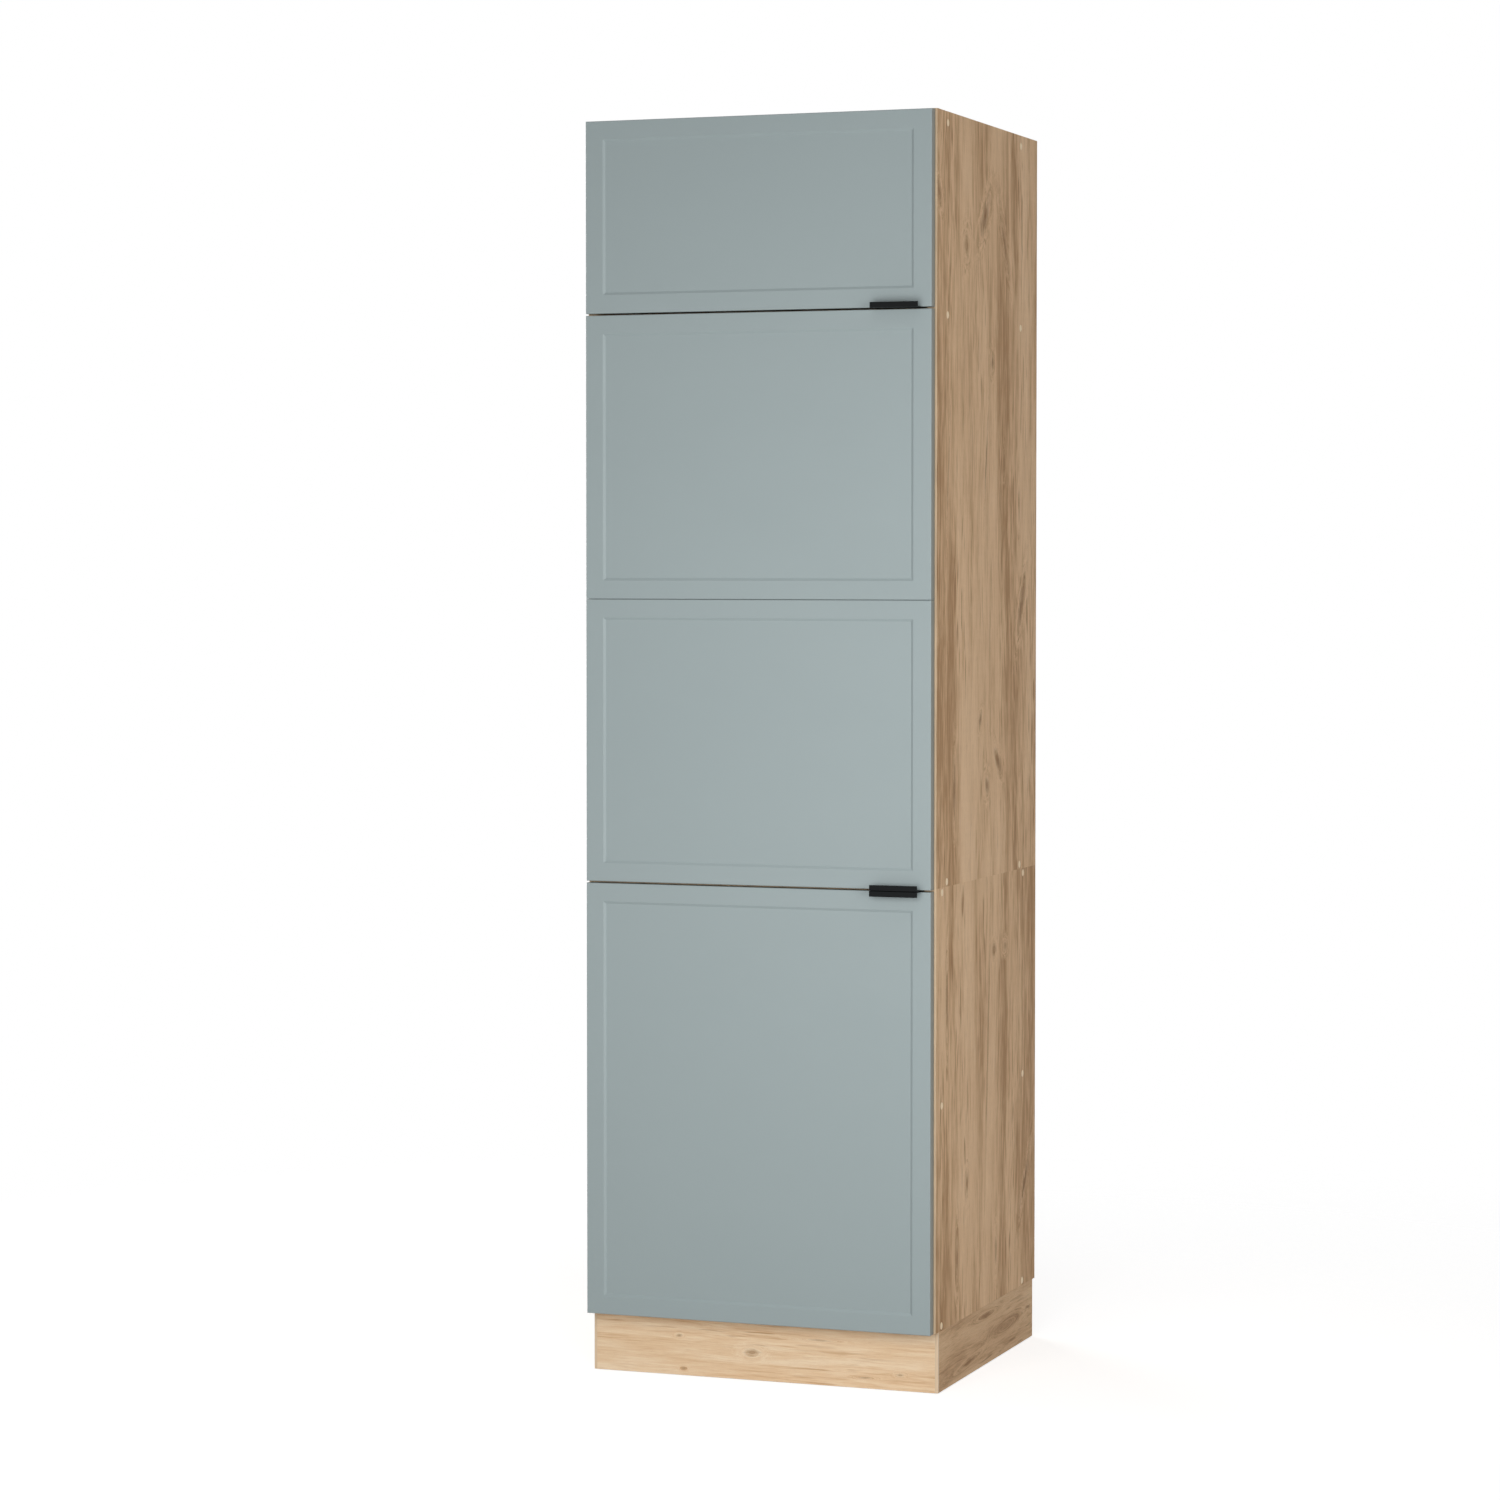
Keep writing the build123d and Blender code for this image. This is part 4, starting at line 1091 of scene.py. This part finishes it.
@dataclass
class Carcass:
    """The two stacked boxes: sides, level boards, back panels, caps, brackets and screws."""

    half_width: float = 0.300
    cap_grids: tuple[tuple[tuple[float, ...], tuple[float, ...]], ...] = (
        ((0.108, 0.464, 0.808), (-0.229, 0.225)),
        ((0.824, 1.735, 2.042), (-0.204, 0.204)),
    )
    cap_radius: float = 0.006
    cap_rings: tuple[Range, ...] = (
        (0.3, 0.0),
        (0.6, 0.0),
        (0.8, 0.0),
        (0.92, -0.00002),
        (0.98, -0.00012),
        (1.0, -0.0003),
        (1.0, -0.001),
    )
    bumper_x: float = 0.292
    bumper_y: float = -0.260
    bumper_rows: tuple[float, ...] = (0.124, 0.788, 0.839, 1.7175, 1.7685, 2.034)
    bumper_radius: float = 0.004
    bumper_height: float = 0.0017
    bracket_screw: Screw = Screw(0.002, 0.004, 0.014, Head.ROUND, 0.002)
    bracket_seat: Point = (0.2, 0.244, 2.052)
    box_screw: Screw = Screw(0.002, 0.004, 0.028)
    box_screw_x: float = 0.224
    box_screw_columns: tuple[float, float] = (-0.170, 0.166)
    box_screw_z: float = 0.8

    def make_caps(self) -> None:
        """Makes the cover caps: flat discs with a rounded rim in the sides' counterbores.

        Each ring has its share of the radius, and the rim turns down to the cap's underside.
        """
        angle = np.linspace(0, FULL_TURN, 32, endpoint=False)
        rings = ((share * self.cap_radius, height) for share, height in self.cap_rings)
        places = np.array(
            [
                (side * self.half_width, y, z)
                for side in BOTH
                for rows, columns in self.cap_grids
                for z in rows
                for y in columns
            ]
        )
        caps = Surface.turned(rings, angle).at(places, np.sign(places) * ALONG_X)
        caps.piece("cap_discs", CAP_PLASTIC_WITH_HIGHLIGHT, "carcass", "cover_caps")

    def make_bumpers(self) -> None:
        """Makes the door bumpers: drops of soft plastic whose height follows a quarter ellipse."""
        angle = np.linspace(0, FULL_TURN, 24, endpoint=False)
        lean = np.linspace(0.15, 1.0, 8) * math.pi / 2
        rings = zip(self.bumper_radius * np.sin(lean), self.bumper_height * np.cos(lean))
        places = [(self.bumper_x, self.bumper_y, z) for z in self.bumper_rows]
        drops = Surface.turned(rings, angle).at(places, AGAINST_Y)
        drops.piece("bumper_drops", BUMPER_RUBBER, "carcass", "door_bumpers")

    def make_screws(self) -> None:
        """Makes the screws of the wall brackets and those that join the two boxes."""
        x, y, z = self.bracket_seat
        seats = [(side * x, y, z) for side in BOTH]
        self.bracket_screw.drive("bracket_screws", "carcass", "wall_bracket_screws", seats, ALONG_Z)
        seats = [
            (side * self.box_screw_x, y, self.box_screw_z)
            for side in BOTH
            for y in self.box_screw_columns
        ]
        self.box_screw.drive("box_screws", "carcass", "box_joining_screws", seats, AGAINST_Z)

    def build(self) -> None:
        """Builds and dresses the whole sub-assembly."""
        dress(UPPER_SIDE_OAK, "upper_side_right")
        dress(LOWER_SIDE_OAK, "lower_side_right")
        dress(FAR_UPPER_OAK, "upper_side_left")
        dress(FAR_LOWER_OAK, "lower_side_left")
        dress(LEVEL_OAK, "lower_bottom_board", "lower_shelf", "lower_top_board")
        dress(LEVEL_OAK, "niche_floor_board", "dividing_board", "upper_top_board")
        dress(HARDBOARD, "lower_back_panel", "upper_back_panel")
        dress(FASTENER_STEEL, "assembly_screws")
        dress(ZINC_STEEL, "wall_brackets")
        self.make_caps()
        self.make_bumpers()
        self.make_screws()


@dataclass
class Fronts:
    """The three doors: lacquered fronts, edge pulls, joining plates and their screws."""

    back_y: float = -0.262
    seat_depth: float = 0.0012
    pull_x: float = 0.240
    pull_spacing: float = 0.050
    pull_rows: tuple[tuple[str, float], ...] = (
        ("lower", 0.799),
        ("middle", 0.828),
        ("top", 1.7575),
    )
    pull_screw: Screw = Screw(0.0015, 0.0027, 0.012)
    joining_screw: Screw = Screw(0.0015, 0.0027, 0.013)
    joining_x: float = 0.150
    joining_across: float = 0.010
    joining_rise: float = 0.045
    joint_z: float = 1.27825
    tape_half_width: float = 0.005
    tape_thickness: float = 0.0004
    tape_ends: tuple[Range, ...] = ((-0.296, -0.1705), (-0.1295, 0.1295), (0.1705, 0.296))

    def make_shade_sheet(self) -> None:
        """Makes the tape behind the middle door's joint, in lengths between the joining plates: a
        grey sheet that stands in for the seam's shade, so that the seam reads evenly dark.

        Its height falls from the middle with the fourth power of the share of its half width.
        """
        share = np.linspace(-1.0, 1.0, 17)
        across = self.joint_z + self.tape_half_width * share
        rise = self.back_y + self.tape_thickness * (1.0 - share**4)
        lengths = [Surface.strip(across, rise, ends) for ends in self.tape_ends]
        Surface.joined(*lengths).piece("joint_shade_sheet", SEAM_SHADE_SHEET, "middle_door")

    def make_pulls(self) -> None:
        """Dresses the edge pulls and makes their screws."""
        seat_y = self.back_y + self.seat_depth
        for door, row in self.pull_rows:
            dress(PULL_BLACK, f"{door}_pull")
            seats = [(self.pull_x + side * self.pull_spacing / 2, seat_y, row) for side in BOTH]
            self.pull_screw.drive(
                f"{door}_pull_fixings", f"{door}_door", f"{door}_pull_screws", seats, ALONG_Y
            )

    def make_joint(self) -> None:
        """Dresses the plates that join the middle door's two panels, and makes their screws."""
        dress(ZINC_STEEL, "middle_joining_plates")
        seats = [
            (
                side * self.joining_x + across * self.joining_across,
                self.back_y + self.seat_depth,
                self.joint_z + up * self.joining_rise,
            )
            for side in BOTH
            for across in BOTH
            for up in BOTH
        ]
        self.joining_screw.drive(
            "joining_fixings", "middle_door", "middle_joining_screws", seats, ALONG_Y
        )

    def build(self) -> None:
        """Builds and dresses the doors."""
        self.make_shade_sheet()
        dress(LACQUER, "lower_front", "middle_lower_front", "middle_upper_front", "top_front")
        self.make_pulls()
        self.make_joint()


@dataclass
class Plinth:
    """The plinth boards, their corner beads, and the clips that hold them to the feet."""

    clip_screw: Screw = Screw(0.0015, 0.003, 0.011, Head.ROUND, 0.0015)
    clip_z: float = 0.060
    spacing: float = 0.024
    front_seat: Range = (0.238, -0.2255)
    side_seat: Range = (0.2805, 0.196)

    def build(self) -> None:
        """Builds and dresses the plinth."""
        dress(PLINTH_OAK_PAINTED_LIGHT, "plinth_front")
        dress(PLINTH_SIDE_OAK_PAINTED_SHADE, "plinth_side_left", "plinth_side_right")
        dress(BEAD_PLASTIC, "plinth_corner_beads")
        dress(FOOT_PLASTIC, "plinth_clips")
        ends = (-self.spacing / 2, self.spacing / 2)
        x, y = self.front_seat
        front = [(side * x + end, y, self.clip_z) for side in BOTH for end in ends]
        x, y = self.side_seat
        sides = [(side * x, y + end, self.clip_z) for side in BOTH for end in ends]
        axes = [ALONG_Y] * len(front) + [ALONG_X] * len(ends) + [AGAINST_X] * len(ends)
        self.clip_screw.drive("clip_screws", "carcass", "plinth_clip_screws", front + sides, axes)


@dataclass
class Feet:
    """The adjustable feet: a socket under the bottom board and a threaded leg in each."""

    side_x: float = 0.238
    rows: tuple[tuple[str, float], ...] = (("front", -0.192), ("rear", 0.196))
    stem_radius: float = 0.013
    stem_top: float = 0.088
    stem_clearance: float = 0.001
    thread_depth: float = 0.0012
    pitch: float = 0.004
    steps_in_pitch: int = 4
    pad_radius: float = 0.027
    pad_height: float = 0.008
    flutes: int = 16
    flute_depth: float = 0.0009
    pad_rings: tuple[Point, ...] = (
        (1.0, -0.0012, 0.0037),
        (1.0, 0.0, 0.0028),
        (1.0, 0.0, 0.0006),
        (1.0, -0.0006, 0.0),
        (0.7, 0.0, 0.0),
        (0.66, 0.0, 0.0008),
        (0.2, 0.0, 0.0008),
    )

    def leg(self) -> Surface:
        """Works out one leg.

        The stem's radius falls from the crest by the thread's depth and back once per
        pitch, shifted by the angle. The pad's rim draws in at each flute by the eighth
        power of half a cosine, and each ring of the pad has its share of the rim's radius
        plus a step, and its height.

        Returns:
            The leg's closed surface, its middle on the Z axis and its pad on the floor.
        """
        angle = np.linspace(0, FULL_TURN, 64, endpoint=False)
        gap = self.stem_clearance
        turns = int((self.stem_top - self.pad_height - 2 * gap) / self.pitch)
        steps = turns * self.steps_in_pitch + 1
        down = np.linspace(self.stem_top - gap, self.pad_height + gap, steps)[:, None]
        wave = thread_wave(down, self.pitch, angle)
        stem = self.stem_radius - self.thread_depth * (1.0 - wave) ** 1.5
        flute = (0.5 + 0.5 * np.cos(self.flutes * angle)) ** 4
        rim = self.pad_radius - self.flute_depth * flute
        root = self.stem_radius - self.thread_depth
        rings = [
            (0.6 * root, self.stem_top),
            (root, self.stem_top),
            *zip(stem, down),
            (root, self.pad_height + gap / 2),
            (self.stem_radius, self.pad_height),
            *((share * rim + step, height) for share, step, height in self.pad_rings),
        ]
        return Surface.turned(rings, angle)

    def build(self) -> None:
        """Builds and dresses the feet."""
        dress(FOOT_PLASTIC, "foot_sockets")
        leg = self.leg()
        for row, y in self.rows:
            for word, side in ((f"{row}_left", -1), (f"{row}_right", 1)):
                leg.at([(side * self.side_x, y, 0.0)], ALONG_Z).piece(
                    f"threaded_leg_{word}", FOOT_PLASTIC, f"foot_{word}", f"foot_leg_{word}"
                )


@dataclass
class Hinges:
    """The concealed hinges: cups in the doors, arms and plates on the side, links between."""

    rows: tuple[tuple[str, tuple[float, ...]], ...] = (
        ("lower", (0.190, 0.722)),
        ("middle", (0.905, 1.3685, 1.6515)),
        ("top", (1.8145, 1.988)),
    )
    cup_seat: Point = (-0.266, -0.2608, 0.0225)
    plate_seat: Point = (-0.282, -0.223, 0.016)
    arm_top: float = -0.269
    adjuster_y: float = -0.231
    fixing_y: float = -0.212
    cup_screw: Screw = Screw(0.0015, 0.0027, 0.011)
    plate_screw: Screw = Screw(0.002, 0.0034, 0.012)
    adjuster: Screw = Screw(0.0015, 0.0026, 0.003, Head.ROUND, 0.0008)
    fixing: Screw = Screw(0.002, 0.0042, 0.003, Head.ROUND, 0.0012)

    @staticmethod
    def seats(rows: Iterable[float], seat: Point) -> list[Point]:
        """Returns two seats for each row, this far above and below it."""
        x, y, rise = seat
        return [(x, y, z + side * rise) for z in rows for side in BOTH]

    def build(self) -> None:
        """Builds and dresses the hinges."""
        dress(HINGE_NICKEL, "hinge_arms", "hinge_plates", "hinge_arm_pins")
        for door, rows in self.rows:
            for part in ("hinge_cups", "cup_pins", "outer_links", "inner_links"):
                dress(HINGE_NICKEL, f"{door}_{part}")
            seats = self.seats(rows, self.cup_seat)
            self.cup_screw.drive(
                f"{door}_cup_fixings", f"{door}_door", f"{door}_cup_screws", seats, ALONG_Y
            )
        every = [z for _, rows in self.rows for z in rows]
        seats = self.seats(every, self.plate_seat)
        self.plate_screw.drive("plate_screws", "carcass", "hinge_plate_screws", seats, ALONG_X)
        kinds = ((self.adjuster, self.adjuster_y), (self.fixing, self.fixing_y))
        on_arms = [
            screw.surface().at([(self.arm_top, y, z) for z in every], ALONG_X)
            for screw, y in kinds
        ]
        Surface.joined(*on_arms).piece("hinge_arm_screws", FASTENER_STEEL, "carcass")


@dataclass(frozen=True)
class Lamp:
    """A soft square lamp: where it stands, its power in watts and its side in metres."""

    title: str
    place: Point
    power: float
    size: float
    aim: Point = (0.0, 0.0, 1.0)

    def make(self) -> None:
        """Makes the lamp, which the camera doesn't see."""
        data = bpy.data.lights.new(self.title, "AREA")
        data.energy, data.size = self.power, self.size
        lamp = put(self.title, data)
        lamp.location = self.place
        aside = Vector(self.aim) - Vector(self.place)
        lamp.rotation_euler = aside.to_track_quat("-Z", "Y").to_euler()
        lamp.visible_camera = False


@dataclass
class Studio:
    """The pale floor, the soft lamps, the white surround and the camera."""

    eye: Point = (2.32522, -6.58223, 1.34328)
    heading: float = 20.3338
    droop: float = 2.0083
    lens: float = 99.742
    sensor: float = 36.0
    shift: float = -0.03
    ambient: float = 0.21
    lamps: tuple[Lamp, ...] = (
        Lamp("key_lamp", (5.4, -4.4, 1.4), 121.0, 2.4),
        Lamp("front_lamp", (0.4, -2.2, 1.1), 24.9, 1.5),
        Lamp("top_lamp", (1.5, -4.0, 6.5), 25.0, 2.5),
        Lamp("rear_lamp", (-4.2, 3.8, 1.6), 190.0, 3.0),
    )
    floor_reach: float = 60.0
    floor_tone: Colour = (0.62, 0.62, 0.62, 1.0)
    floor_glow: float = 0.7
    shadow_reach: Range = (0.9, 2.4)

    @staticmethod
    def seen(wiring: Wiring, *rays: str) -> Any:
        """Picks out some kinds of ray.

        Args:
            wiring: The tree of the world or the material.
            *rays: The kinds, beside the camera's own.

        Returns:
            One for a ray of these kinds.
        """
        path = wiring.add("ShaderNodeLightPath").outputs
        mask = path["Is Camera Ray"]
        for ray in rays:
            mask = wiring.math("MAXIMUM", mask, path[ray])
        return mask

    def make_world(self) -> None:
        """Makes the surround: plain light for the object, white for camera and reflections."""
        world = bpy.data.worlds.new("surround")
        world.use_nodes = True
        bpy.context.scene.world = world
        wiring = Wiring(world.node_tree)
        mask = self.seen(wiring, "Is Glossy Ray", "Is Transmission Ray")
        soft, white = (
            wiring.add("ShaderNodeBackground", {"Color": WHITE, "Strength": strength}).outputs[0]
            for strength in (self.ambient, 1.0)
        )
        mixed = wiring.add("ShaderNodeMixShader", {0: mask, 1: soft, 2: white})
        wiring.add("ShaderNodeOutputWorld", {"Surface": mixed.outputs[0]})

    def floor_material(self) -> bpy.types.Material:
        """Makes the floor's material: a matt sheet with a glow, clear further out.

        Returns:
            The material.
        """
        material = bpy.data.materials.new("studio_floor")
        material.use_nodes = True
        wiring = Wiring(material.node_tree)
        mask = self.seen(wiring, "Is Glossy Ray")
        lit = wiring.add("ShaderNodeBsdfDiffuse", {"Color": self.floor_tone})
        strength = wiring.times(mask, self.floor_glow)
        glow = wiring.add("ShaderNodeEmission", {"Color": WHITE, "Strength": strength})
        both = wiring.add("ShaderNodeAddShader", {0: lit.outputs[0], 1: glow.outputs[0]})
        place = wiring.add("ShaderNodeTexCoord").outputs["Object"]
        away = wiring.spread(wiring.vector("LENGTH", place), *self.shadow_reach)
        clear = wiring.add("ShaderNodeBsdfTransparent")
        share = wiring.times(away, mask)
        feeds = {0: share, 1: both.outputs[0], 2: clear.outputs[0]}
        faded = wiring.add("ShaderNodeMixShader", feeds)
        wiring.add("ShaderNodeOutputMaterial", {"Surface": faded.outputs[0]})
        return material

    def make_floor(self) -> None:
        """Makes the floor: a level sheet that looks white and keeps a faint shadow."""
        mesh = bpy.data.meshes.new("studio_floor")
        corners = np.array([(-1, -1, 0), (1, -1, 0), (1, 1, 0), (-1, 1, 0)]) * self.floor_reach
        mesh.from_pydata(corners, [], [[0, 1, 2, 3]])
        mesh.materials.append(self.floor_material())
        floor = put("studio_floor", mesh)

    def make_camera(self) -> None:
        """Makes the camera at the photograph's place and angle."""
        data = bpy.data.cameras.new("camera")
        data.lens, data.sensor_width, data.shift_y = self.lens, self.sensor, self.shift
        camera = put("camera", data)
        camera.location = self.eye
        tilt, turn = math.radians(90 - self.droop), math.radians(self.heading)
        camera.rotation_euler = Euler((tilt, 0.0, turn))
        bpy.context.scene.camera = camera

    def build(self) -> None:
        """Builds the whole studio."""
        self.make_world()
        self.make_floor()
        for lamp in self.lamps:
            lamp.make()
        self.make_camera()
        bpy.context.scene.view_settings.view_transform = "Standard"


def main() -> None:
    """Builds the sub-assemblies in order, then the studio."""
    logging.basicConfig(level=logging.INFO, format="%(message)s")
    for group in (Carcass(), Fronts(), Plinth(), Feet(), Hinges(), Studio()):
        group.build()
        log.info("%s built", type(group).__name__)


if __name__ == "__main__":
    main()
